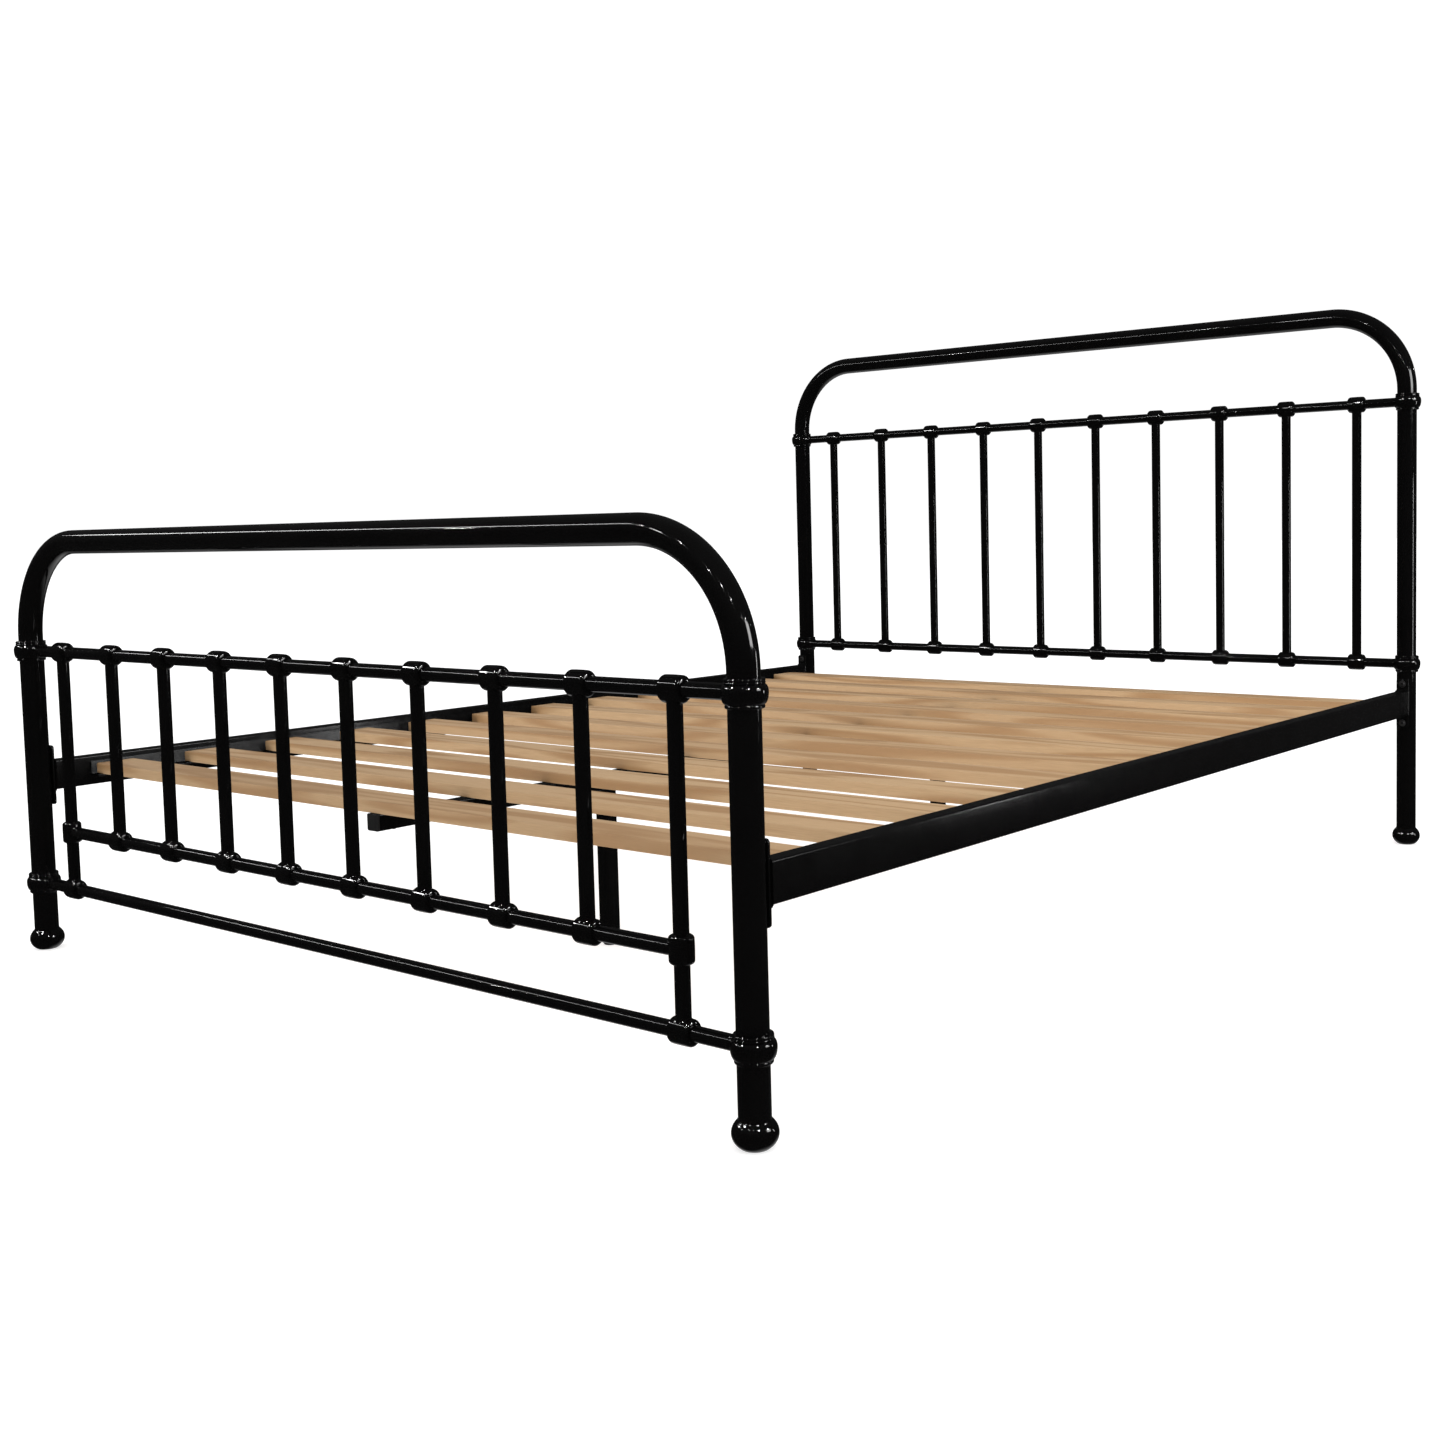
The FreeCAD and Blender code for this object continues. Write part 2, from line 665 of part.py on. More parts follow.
# ---------------------------------------------------------------- side rails

def make_side_rail(label, side):
    body = new_body(label)
    outer = new_sketch(body, "XZ_Plane")
    draw_rectangle(outer, "side_rail_width", "side_rail_height")
    add_feature(body, "Pad", outer, "side_rail_length", both=True)
    round_edges(body, "side_rail_corner", ALONG_Y)
    inner = new_sketch(body, "XZ_Plane")
    draw_rectangle(inner, "side_rail_bore_w", "side_rail_bore_h")
    add_feature(body, "Pocket", inner, "side_rail_length", both=True)
    place(body, x=side + "dims.half_width", z="dims.side_rail_mid_z")


def make_end_plates():
    """Flat plates welded to the rail ends and bolted to the posts."""
    body = new_body("side_rail_end_plates", several=True)
    face = new_sketch(body, "XZ_Plane", ("-half_width", "side_rail_mid_z", "plate_inner_y"))
    draw_rectangle(face, "plate_width", "plate_height")
    add_feature(body, "Pad", face, "plate_thick")
    round_edges(body, "plate_corner", ALONG_Y)
    low = new_sketch(body, "XZ_Plane", ("-half_width", "bolt_low_z", "plate_inner_y"))
    draw_circle(low, "rail_bolt_hole")
    hole = add_feature(body, "Pocket", low, "plate_thick", backward=True)
    repeat(body, "Z_Axis", "dims.rail_bolt_spacing", 2, hole)
    mirror(body, "YZ_Plane")
    mirror(body, "XZ_Plane")


def bolt_sketch(body):
    """Sketch with x along +Y from the plate's inner face and the bolt's axis on x."""
    return new_sketch(body, "YZ_Plane", ("-plate_inner_y", "bolt_low_z", "-half_width"))


def four_corners(body):
    repeat(body, "Z_Axis", "dims.rail_bolt_spacing", 2)
    mirror(body, "YZ_Plane")
    mirror(body, "XZ_Plane")


def make_rail_bolts():
    body = new_body("rail_bolts", several=True)
    half = bolt_sketch(body)
    draw_outline(half, [
        ("-rail_bolt_length", "0"), ("-rail_bolt_length", "bolt_radius"),
        ("0", "bolt_radius"), ("0", "bolt_head_r"), ("bolt_head_rim", "bolt_head_r"),
        ("bolt_head_height", "bolt_head_top_r"), ("bolt_head_height", "0")],
        {4: ("dome_arc", -1)})
    revolve(body, half, "H_Axis")
    key = new_sketch(body, "XZ_Plane", ("-half_width", "bolt_low_z", "plate_inner_y"))
    key.setExpression("AttachmentOffset.Base.z", "dims.plate_inner_y - dims.bolt_head_height")
    draw_hexagon(key, "socket_corner", "socket_side", "socket_half")
    add_feature(body, "Pocket", key, "socket_depth", backward=True)
    four_corners(body)


def make_inserts():
    """Threaded sleeves fixed in the posts."""
    body = new_body("post_thread_inserts", several=True)
    half = bolt_sketch(body)
    draw_outline(half, [
        ("-insert_far", "insert_bore_r"), ("-insert_far", "insert_radius"),
        ("-insert_near", "insert_radius"), ("-insert_near", "insert_bore_r")])
    revolve(body, half, "H_Axis")
    four_corners(body)


def make_ledger(label, side):
    """Angle welded to the inner face of a side rail; side is '-' or ''."""
    body = new_body(label)
    profile = new_sketch(body, "XZ_Plane")
    draw_outline(profile, [
        (side + "ledger_wall_x", "shelf_base_z"), (side + "ledger_wall_x", "ledger_top_z"),
        (side + "ledger_web_x", "ledger_top_z"), (side + "ledger_web_x", "shelf_top_z"),
        (side + "ledger_edge_x", "shelf_top_z"), (side + "ledger_edge_x", "shelf_base_z")])
    add_feature(body, "Pad", profile, "ledger_length", both=True)
    spot = new_sketch(body, "XY_Plane", (side + "ledger_screw_x", "-slat_start", "shelf_top_z"))
    draw_circle(spot, "screw_hole")
    hole = add_feature(body, "Pocket", spot, "ledger_thick")
    repeat(body, "Y_Axis", "dims.slat_pitch", "slat_count", hole)


# ---------------------------------------------------------------- slats and centre support

def make_slats():
    body = new_body("bed_slats", several=True)
    base = new_sketch(body, "XY_Plane", ("0", "-slat_start", "shelf_top_z"))
    draw_rectangle(base, "slat_length", "slat_width")
    add_feature(body, "Pad", base, "slat_thick")
    round_edges(body, "slat_round", ALONG_X)
    for x in ("-ledger_screw_x", "0", "ledger_screw_x"):
        spot = new_sketch(body, "XY_Plane", (x, "-slat_start", "shelf_top_z"))
        draw_circle(spot, "slat_hole")
        add_feature(body, "Pocket", spot, "slat_hole_depth", backward=True)
    repeat(body, "Y_Axis", "dims.slat_pitch", "slat_count")


def screw_outline(sketch, length):
    """Pan head below the seat, shank above it."""
    draw_outline(sketch, [
        ("0", "-screw_head_height"), ("screw_radius", "-screw_head_height"),
        ("screw_head_r", "0"), ("screw_radius", "0"), ("screw_radius", length),
        ("0", length)], {1: ("screw_head_r", 1)})


def make_ledger_screws():
    body = new_body("ledger_screws", several=True)
    half = new_sketch(body, "XZ_Plane", ("-ledger_screw_x", "shelf_base_z", "slat_start"))
    screw_outline(half, "ledger_screw_length")
    revolve(body, half, "V_Axis")
    repeat(body, "Y_Axis", "dims.slat_pitch", "slat_count")
    mirror(body, "YZ_Plane")


def make_beam_screws():
    body = new_body("beam_screws", several=True)
    half = new_sketch(body, "XZ_Plane", ("0", "beam_base_z", "slat_start"))
    screw_outline(half, "beam_screw_length")
    revolve(body, half, "V_Axis")
    repeat(body, "Y_Axis", "dims.slat_pitch", "slat_count")


def make_beam():
    body = new_body("centre_beam")
    outer = new_sketch(body, "XZ_Plane", ("0", "beam_mid_z", "0"))
    draw_rectangle(outer, "beam_size", "beam_size")
    add_feature(body, "Pad", outer, "beam_length", both=True)
    round_edges(body, "beam_corner", ALONG_Y)
    inner = new_sketch(body, "XZ_Plane", ("0", "beam_mid_z", "0"))
    draw_rectangle(inner, "beam_bore", "beam_bore")
    add_feature(body, "Pocket", inner, "beam_length", both=True)
    spot = new_sketch(body, "XY_Plane", ("0", "-slat_start", "shelf_top_z"))
    draw_circle(spot, "screw_hole")
    hole = add_feature(body, "Pocket", spot, "beam_size")
    repeat(body, "Y_Axis", "dims.slat_pitch", "slat_count", hole)
    for y in ("-leg_bolt_start", "leg_bolt_start"):
        spot = new_sketch(body, "XY_Plane", ("0", y, "beam_base_z"))
        draw_circle(spot, "leg_bolt_hole")
        hole = add_feature(body, "Pocket", spot, "beam_wall_cut", backward=True)
        inner_hole = repeat(body, "Y_Axis", "dims.leg_bolt_spacing", 2, hole)
        inner_hole.Reversed = y == "leg_bolt_start"


def make_beam_plugs():
    """Plastic plugs in the open ends of the beam."""
    body = new_body("beam_end_plugs", several=True)
    cap = new_sketch(body, "XZ_Plane", ("0", "beam_mid_z", "beam_half"))
    draw_rectangle(cap, "beam_size", "beam_size")
    add_feature(body, "Pad", cap, "plug_cap")
    round_edges(body, "beam_corner", ALONG_Y)
    grip = new_sketch(body, "XZ_Plane", ("0", "beam_mid_z", "beam_half"))
    draw_rectangle(grip, "plug_grip_size", "plug_grip_size")
    add_feature(body, "Pad", grip, "plug_grip", backward=True)
    mirror(body, "XZ_Plane")


def make_leg(label, side):
    body = new_body(label)
    outer = new_sketch(body, "XY_Plane")
    draw_rectangle(outer, "beam_size", "beam_size")
    add_feature(body, "Pad", outer, "leg_length")
    round_edges(body, "beam_corner", ALONG_Z)
    inner = new_sketch(body, "XY_Plane")
    draw_rectangle(inner, "beam_bore", "beam_bore")
    add_feature(body, "Pocket", inner, "leg_length", backward=True)
    place(body, y=side + "dims.leg_y", z="dims.leg_base_z")


def make_leg_plates():
    body = new_body("centre_leg_plates", several=True)
    base = new_sketch(body, "XY_Plane", ("0", "-leg_y", "leg_top_z"))
    draw_rectangle(base, "beam_size", "leg_plate_length")
    add_feature(body, "Pad", base, "leg_plate_thick")
    round_edges(body, "plate_corner", ALONG_Z)
    spot = new_sketch(body, "XY_Plane", ("0", "-leg_bolt_start", "leg_top_z"))
    draw_circle(spot, "leg_bolt_hole")
    hole = add_feature(body, "Pocket", spot, "leg_plate_thick", backward=True)
    repeat(body, "Y_Axis", "dims.leg_bolt_spacing", 2, hole)
    mirror(body, "XZ_Plane")


def make_leg_bolts():
    body = new_body("centre_leg_bolts", several=True)
    head = new_sketch(body, "XY_Plane", ("0", "-leg_bolt_start", "leg_bolt_low_z"))
    draw_hexagon(head, "leg_bolt_corner", "leg_bolt_side", "leg_bolt_half")
    add_feature(body, "Pad", head, "leg_bolt_head")
    shank = new_sketch(body, "XY_Plane", ("0", "-leg_bolt_start", "leg_top_z"))
    draw_circle(shank, "leg_bolt_od")
    add_feature(body, "Pad", shank, "leg_bolt_length")
    repeat(body, "Y_Axis", "dims.leg_bolt_spacing", 2)
    mirror(body, "XZ_Plane")


def make_leg_nuts():
    """Clinch nuts fixed inside the beam's lower wall."""
    body = new_body("beam_clinch_nuts", several=True)
    ring = new_sketch(body, "XY_Plane", ("0", "-leg_bolt_start", "leg_nut_base_z"))
    draw_circle(ring, "leg_nut_od")
    draw_circle(ring, "leg_nut_bore")
    add_feature(body, "Pad", ring, "leg_nut_height")
    repeat(body, "Y_Axis", "dims.leg_bolt_spacing", 2)
    mirror(body, "XZ_Plane")


def make_glide_sockets():
    """Plastic plugs in the leg ends that take the stems of the glides."""
    body = new_body("leg_glide_sockets", several=True)
    cap = new_sketch(body, "XY_Plane", ("0", "-leg_y", "glide_top_z"))
    draw_rectangle(cap, "beam_size", "beam_size")
    add_feature(body, "Pad", cap, "socket_cap")
    round_edges(body, "beam_corner", ALONG_Z)
    grip = new_sketch(body, "XY_Plane", ("0", "-leg_y", "leg_base_z"))
    draw_rectangle(grip, "plug_grip_size", "plug_grip_size")
    add_feature(body, "Pad", grip, "socket_grip")
    bore = new_sketch(body, "XY_Plane", ("0", "-leg_y", "glide_top_z"))
    draw_circle(bore, "socket_bore")
    add_feature(body, "Pocket", bore, "socket_height", backward=True)
    mirror(body, "XZ_Plane")


def make_glide(label, side):
    body = new_body(label)
    half = new_sketch(body, "XZ_Plane")
    draw_outline(half, [
        ("0", "0"), ("glide_foot_r", "0"), ("glide_radius", "glide_edge"),
        ("glide_radius", "glide_top_z"), ("stem_radius", "glide_top_z"),
        ("stem_radius", "stem_top_z"), ("0", "stem_top_z")])
    revolve(body, half, "V_Axis")
    place(body, y=side + "dims.leg_y")


def make_base():
    make_side_rail("left_side_rail", "-")
    make_side_rail("right_side_rail", "")
    make_end_plates()
    make_rail_bolts()
    make_inserts()
    make_ledger("left_slat_ledger", "-")
    make_ledger("right_slat_ledger", "")
    make_slats()
    make_ledger_screws()
    make_beam_screws()
    make_beam()
    make_beam_plugs()
    make_leg("foot_centre_leg", "-")
    make_leg("head_centre_leg", "")
    make_leg_plates()
    make_leg_bolts()
    make_leg_nuts()
    make_glide_sockets()
    make_glide("foot_leg_glide", "-")
    make_glide("head_leg_glide", "")


def check_document():
    """Stop on any object that is invalid, in error or without a sound shape."""
    for item in doc.Objects:
        if "Invalid" in item.State or "Error" in item.State:
            raise RuntimeError("bad state: %s %s" % (item.Label, item.State))
    for body in PARTS:
        shape = body.Shape
        if shape.isNull() or not shape.isValid() or not shape.Solids:
            raise RuntimeError("bad shape: " + body.Label)


def export_parts():
    os.makedirs("parts", exist_ok=True)
    for body in PARTS:
        body.Shape.exportStep("parts/%s.step" % body.Label)


make_boards()
make_base()
doc.recompute()
check_document()
export_parts()
for body in PARTS:
    box = body.Shape.BoundBox
    print("%-28s %2d solids %9.0f mm3" % (body.Label, len(body.Shape.Solids), body.Shape.Volume))
print(len(PARTS), "nodes")
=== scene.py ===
import math

import bmesh
import bpy
from mathutils import Matrix, Vector, noise

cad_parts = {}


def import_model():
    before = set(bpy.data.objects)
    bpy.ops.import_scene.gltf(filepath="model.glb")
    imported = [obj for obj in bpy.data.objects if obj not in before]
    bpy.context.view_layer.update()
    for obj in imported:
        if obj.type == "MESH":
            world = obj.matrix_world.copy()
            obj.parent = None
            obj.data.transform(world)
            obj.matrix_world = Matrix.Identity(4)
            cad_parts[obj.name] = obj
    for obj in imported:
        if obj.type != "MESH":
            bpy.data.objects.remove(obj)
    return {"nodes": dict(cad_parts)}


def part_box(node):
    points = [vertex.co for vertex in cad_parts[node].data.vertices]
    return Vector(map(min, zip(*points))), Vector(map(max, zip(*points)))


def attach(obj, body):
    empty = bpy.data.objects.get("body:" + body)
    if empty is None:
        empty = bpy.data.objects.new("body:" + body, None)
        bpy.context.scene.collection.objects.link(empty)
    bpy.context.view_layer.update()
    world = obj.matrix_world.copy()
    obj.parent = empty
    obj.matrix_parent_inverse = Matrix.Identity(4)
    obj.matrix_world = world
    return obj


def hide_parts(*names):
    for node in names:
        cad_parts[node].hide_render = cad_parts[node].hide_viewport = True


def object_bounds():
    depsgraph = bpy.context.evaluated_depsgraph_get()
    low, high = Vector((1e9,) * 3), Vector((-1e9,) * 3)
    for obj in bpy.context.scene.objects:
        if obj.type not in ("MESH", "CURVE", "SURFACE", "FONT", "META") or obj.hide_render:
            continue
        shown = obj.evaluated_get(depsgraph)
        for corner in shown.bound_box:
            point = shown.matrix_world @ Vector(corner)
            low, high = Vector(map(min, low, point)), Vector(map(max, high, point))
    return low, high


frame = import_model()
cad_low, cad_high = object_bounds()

MM = 0.001

# Shape details that a node's box doesn't give.
BEND_RADIUS = 157 * MM
RAIL_RADIUS = 9.5 * MM
POST_RADIUS = 19 * MM
BORE = 0.2 * MM
KNUCKLE_REACH = 15.5 * MM
KNUCKLE_RADIUS = 16.4 * MM
KNUCKLE_HALF = 17.2 * MM
KNUCKLE_ROUND = 4.5 * MM
KNUCKLE_FLATTENING = 0.86
FILLET_HEIGHT = 1.2 * MM
FILLET_WIDTH = 2.6 * MM
COLLAR_HALF = 16.5 * MM
BALL_RADIUS = 27 * MM
BALL_RISE = 21.8 * MM
BALL_CENTRE = 17.6 * MM
CAST_LUMP = 0.05 * MM
CAST_LUMP_SIZE = 8 * MM
LEDGER_THICK = 3 * MM
TUBE_CORNER = 2.5 * MM
TUBE_EASE = 0.3 * MM
PLUG_CAP = 4 * MM
PLUG_INSET = 3.2 * MM
PLUG_CORNER = 1 * MM
PLUG_EASE = 0.8 * MM
BOLT_RADIUS = 4 * MM
BOLT_HEAD = 4.4 * MM
BOLT_HEAD_TOP = 3.6 * MM
SOCKET_FLATS = 5 * MM
SOCKET_DEPTH = 2.6 * MM
SCREW_HEAD = 2.6 * MM
SCREW_RADIUS = 2 * MM
SCREW_ROOT = 1.4 * MM
SCREW_PITCH = 1.8 * MM
SCREW_POINT = 2.5 * MM
HEX_HEAD = 4 * MM
HEX_FLATS = 10 * MM
HEX_SHANK = 3 * MM
GLIDE_HEIGHT = 8 * MM
GLIDE_EDGE = 1.2 * MM
LEG_WALL = 1.5 * MM
SOCKET_BORE = 8.4 * MM
STEM_RADIUS = 4 * MM
STEM_ROOT = STEM_RADIUS - 0.6 * MM
STEM_PITCH = 1.25 * MM
WELD_LEG = 3 * MM
WELD_STEP = 0.6 * MM
WELD_RIPPLE = 0.10
WELD_RIPPLE_PITCH = 2.4 * MM

# How finely the round shapes are divided.
TUBE_SIDES = 56
ROD_SIDES = 40
CAST_SIDES = 56
BEND_STEPS = 40
ARC_STEPS = 8
CORNER_STEPS = 5
DRIVE_SIDES = 48
SLEEVE_SIDES = 64
EDGE_STEPS = 3
FILLET_STEPS = 6
WELD_STEPS = 5
BALL_STEPS = 28

# For a bar along each axis: which coordinates are its width, its height and its length.
SECTION_AXES = {"X": (1, 2, 0), "Y": (0, 2, 1), "Z": (0, 1, 2)}
ALONG_X = (1, 0, 0)
DOWN = (0, 0, -1)
UP = (0, 0, 1)


# ---------------------------------------------------------------- mesh kit

def add_loft(mesh, rings, cap_start=True, cap_end=True):
    """Skins equal rings of points, one quad between each pair of neighbours."""
    rows = [[mesh.verts.new(point) for point in ring] for ring in rings]
    count = len(rows[0])
    for near, far in zip(rows, rows[1:]):
        for i in range(count):
            j = (i + 1) % count
            mesh.faces.new((near[i], near[j], far[j], far[i]))
    if cap_start:
        mesh.faces.new(rows[0][::-1])
    if cap_end:
        mesh.faces.new(rows[-1])


def frame_along(axis):
    """Two directions square to an axis and to each other."""
    axis = axis.normalized()
    helper = Vector((0, 0, 1)) if abs(axis.z) < 0.9 else Vector((0, 1, 0))
    side = helper.cross(axis).normalized()
    return side, axis.cross(side)


def circle(centre, side, up, radius, count):
    return [centre
            + side * (radius * math.cos(2 * math.pi * i / count))
            + up * (radius * math.sin(2 * math.pi * i / count))
            for i in range(count)]


def add_revolve(mesh, base, axis, profile, count, **caps):
    """A round body: profile is a list of (distance along the axis, radius)."""
    side, up = frame_along(axis)
    rings = [circle(base + axis * along, side, up, radius, count)
             for along, radius in profile]
    add_loft(mesh, rings, **caps)


def quarter(start, end, steps, centre_first):
    """Points of a quarter ellipse between two points, without the start. The centre has
    the start's first coordinate if centre_first, and otherwise the end's."""
    (x0, y0), (x1, y1) = start, end
    points = []
    for i in range(1, steps + 1):
        angle = math.pi / 2 * i / steps
        if centre_first:
            points.append((x0 + (x1 - x0) * math.sin(angle),
                           y1 + (y0 - y1) * math.cos(angle)))
        else:
            points.append((x1 + (x0 - x1) * math.cos(angle),
                           y0 + (y1 - y0) * math.sin(angle)))
    return points


def rounded_polygon(corners, radius, steps=CORNER_STEPS):
    """An outline, anticlockwise, with every corner eased by a quarter-ellipse arc."""
    points = []
    count = len(corners)
    for i, corner in enumerate(corners):
        tip = Vector(corner)
        start = tip + (Vector(corners[i - 1]) - tip).normalized() * radius
        end = tip + (Vector(corners[(i + 1) % count]) - tip).normalized() * radius
        centre = start + end - tip
        for k in range(steps + 1):
            angle = math.pi / 2 * k / steps
            point = centre + (start - centre) * math.cos(angle) + (end - centre) * math.sin(angle)
            points.append(tuple(point))
    return points


def rounded_rectangle(width, height, radius):
    a, b = width / 2, height / 2
    return rounded_polygon([(-a, -b), (a, -b), (a, b), (-a, b)], radius)


def shrunk(outline, amount):
    """The outline moved inwards along its own normals."""
    moved = []
    count = len(outline)
    for i, (a, b) in enumerate(outline):
        before = Vector(outline[i - 1])
        after = Vector(outline[(i + 1) % count])
        along = (after - before).normalized()
        moved.append((a - along.y * amount, b + along.x * amount))
    return moved


def add_prism(mesh, outline, centre, axis, length, bevel):
    """A bar of one section along X, Y or Z with eased end edges."""
    width, height, lengthwise = SECTION_AXES[axis]
    ends = []
    for i in range(EDGE_STEPS + 1):
        angle = math.pi / 2 * i / EDGE_STEPS
        ends.append((length / 2 - bevel * (1 - math.sin(angle)), bevel * (1 - math.cos(angle))))
    stations = [(-along, amount) for along, amount in reversed(ends)] + ends
    rings = []
    for along, amount in stations:
        ring = []
        for a, b in shrunk(outline, amount):
            point = centre.copy()
            point[width] += a
            point[height] += b
            point[lengthwise] += along
            ring.append(point)
        rings.append(ring)
    add_loft(mesh, rings)


def islands(node):
    """Boxes of the separate solids in a CAD node, as (low, high), in a fixed order."""
    data = frame["nodes"][node].data
    parent = list(range(len(data.vertices)))

    def root(i):
        while parent[i] != i:
            parent[i] = parent[parent[i]]
            i = parent[i]
        return i

    seen = {}
    for vertex in data.vertices:
        key = tuple(round(c, 6) for c in vertex.co)
        if key in seen:
            parent[root(vertex.index)] = root(seen[key])
        else:
            seen[key] = vertex.index
    for edge in data.edges:
        a, b = edge.vertices
        parent[root(a)] = root(b)
    boxes = {}
    for vertex in data.vertices:
        low, high = boxes.setdefault(root(vertex.index), (vertex.co.copy(), vertex.co.copy()))
        for axis in range(3):
            low[axis] = min(low[axis], vertex.co[axis])
            high[axis] = max(high[axis], vertex.co[axis])
    return sorted(boxes.values(), key=lambda box: tuple(round(c, 4) for c in box[0]))


def centre_of(box):
    return (box[0] + box[1]) / 2


def make_piece(name, mesh, material, nodes=(), body="frame", sharp=35):
    """Turns a bmesh into an object that rides on a CAD body and stands for CAD nodes."""
    bmesh.ops.recalc_face_normals(mesh, faces=mesh.faces)
    data = bpy.data.meshes.new(name)
    mesh.to_mesh(data)
    mesh.free()
    data.materials.append(material)
    data.shade_smooth()
    data.set_sharp_from_angle(angle=math.radians(sharp))
    piece = bpy.data.objects.new(name, data)
    bpy.context.scene.collection.objects.link(piece)
    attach(piece, body)
    if nodes:
        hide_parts(*nodes)
    return piece


# ---------------------------------------------------------------- materials

def new_material(name):
    material = bpy.data.materials.new(name)
    material.use_nodes = True
    tree = material.node_tree
    return material, tree, tree.nodes["Principled BSDF"]


def noise_field(tree, scale, detail=2.0, roughness=0.5, stretch=(1, 1, 1), offset=None):
    """Noise over the object's own coordinates; scale is in cycles per metre."""
    coords = tree.nodes.new("ShaderNodeTexCoord")
    mapping = tree.nodes.new("ShaderNodeMapping")
    mapping.inputs["Scale"].default_value = stretch
    tree.links.new(coords.outputs["Object"], mapping.inputs["Vector"])
    if offset is not None:
        tree.links.new(offset, mapping.inputs["Location"])
    field = tree.nodes.new("ShaderNodeTexNoise")
    field.inputs["Scale"].default_value = scale
    field.inputs["Detail"].default_value = detail
    field.inputs["Roughness"].default_value = roughness
    tree.links.new(mapping.outputs["Vector"], field.inputs["Vector"])
    return field.outputs["Fac"]


def remap(tree, value, low, high, in_low=0.3, in_high=0.7):
    node = tree.nodes.new("ShaderNodeMapRange")
    node.inputs["From Min"].default_value = in_low
    node.inputs["From Max"].default_value = in_high
    node.inputs["To Min"].default_value = low
    node.inputs["To Max"].default_value = high
    tree.links.new(value, node.inputs["Value"])
    return node.outputs["Result"]


def blend_colours(tree, factor, first, second):
    node = tree.nodes.new("ShaderNodeMix")
    node.data_type = "RGBA"
    tree.links.new(factor, node.inputs["Factor"])
    for socket, colour in ((node.inputs[6], first), (node.inputs[7], second)):
        if isinstance(colour, tuple):
            socket.default_value = (*colour, 1)
        else:
            tree.links.new(colour, socket)
    return node.outputs[2]


def bump(tree, height, distance, strength=1.0, normal=None):
    node = tree.nodes.new("ShaderNodeBump")
    node.inputs["Strength"].default_value = strength
    node.inputs["Distance"].default_value = distance
    tree.links.new(height, node.inputs["Height"])
    if normal is not None:
        tree.links.new(normal, node.inputs["Normal"])
    return node.outputs["Normal"]


def enamel(name, gloss, peel, wave):
    """Black stoved enamel: gloss is its (lowest, highest) roughness, peel and wave the
    heights of its orange peel and of the slow unevenness under it."""
    material, tree, shader = new_material(name)
    cloud = noise_field(tree, 14, detail=3)
    colour = blend_colours(tree, cloud, (0.0011, 0.0010, 0.0011), (0.0022, 0.0021, 0.0021))
    tree.links.new(colour, shader.inputs["Base Color"])
    smudge = noise_field(tree, 38, detail=5, roughness=0.65)
    tree.links.new(remap(tree, smudge, *gloss), shader.inputs["Roughness"])
    slow = bump(tree, noise_field(tree, 45, detail=1), wave)
    fine = bump(tree, noise_field(tree, 620, detail=2), peel, normal=slow)
    tree.links.new(fine, shader.inputs["Normal"])
    shader.inputs["IOR"].default_value = 1.5
    return material


def bolt_black():
    """Black oxide on steel, its tone and roughness mottled by a fine grain."""
    material, tree, shader = new_material("bolt_black")
    grain = noise_field(tree, 900, detail=4)
    colour = blend_colours(tree, grain, (0.020, 0.020, 0.022), (0.055, 0.053, 0.052))
    tree.links.new(colour, shader.inputs["Base Color"])
    tree.links.new(remap(tree, grain, 0.28, 0.46), shader.inputs["Roughness"])
    tree.links.new(bump(tree, grain, 0.02 * MM), shader.inputs["Normal"])
    shader.inputs["Metallic"].default_value = 0.6
    return material


def zinc():
    """Bright zinc plating with the faint crystal mottling it has."""
    material, tree, shader = new_material("zinc")
    mottle = noise_field(tree, 420, detail=3)
    colour = blend_colours(tree, mottle, (0.42, 0.42, 0.41), (0.62, 0.62, 0.60))
    tree.links.new(colour, shader.inputs["Base Color"])
    tree.links.new(remap(tree, mottle, 0.24, 0.42), shader.inputs["Roughness"])
    tree.links.new(bump(tree, mottle, 0.015 * MM), shader.inputs["Normal"])
    shader.inputs["Metallic"].default_value = 1.0
    return material


def pine():
    """Planed pine: rings and fibres run along X, and each board has its own figure."""
    material, tree, shader = new_material("pine")
    board = tree.nodes.new("ShaderNodeNewGeometry").outputs["Random Per Island"]
    shift = tree.nodes.new("ShaderNodeCombineXYZ")
    spread = remap(tree, board, -7, 7, 0, 1)
    for axis in ("X", "Y", "Z"):
        tree.links.new(spread, shift.inputs[axis])
    offset = shift.outputs["Vector"]
    rings = noise_field(tree, 16, detail=1.5, stretch=(0.07, 1, 1), offset=offset)
    waves = tree.nodes.new("ShaderNodeMath")
    waves.operation = "MULTIPLY"
    waves.inputs[1].default_value = 34
    tree.links.new(rings, waves.inputs[0])
    sine = tree.nodes.new("ShaderNodeMath")
    sine.operation = "SINE"
    tree.links.new(waves.outputs[0], sine.inputs[0])
    late = remap(tree, sine.outputs[0], 0, 1, -0.3, 1)
    wood = blend_colours(tree, late, (0.60, 0.40, 0.215), (0.42, 0.235, 0.10))
    fibre = noise_field(tree, 900, detail=3, stretch=(0.03, 1, 1), offset=offset)
    wood = blend_colours(tree, remap(tree, fibre, 0, 0.35), wood, (0.36, 0.21, 0.10))
    wood = blend_colours(tree, remap(tree, board, 0, 0.3, 0, 1), wood, (0.50, 0.30, 0.15))
    tree.links.new(wood, shader.inputs["Base Color"])
    tree.links.new(remap(tree, fibre, 0.48, 0.66), shader.inputs["Roughness"])
    grain = bump(tree, late, 0.05 * MM)
    tree.links.new(bump(tree, fibre, 0.10 * MM, normal=grain), shader.inputs["Normal"])
    return material


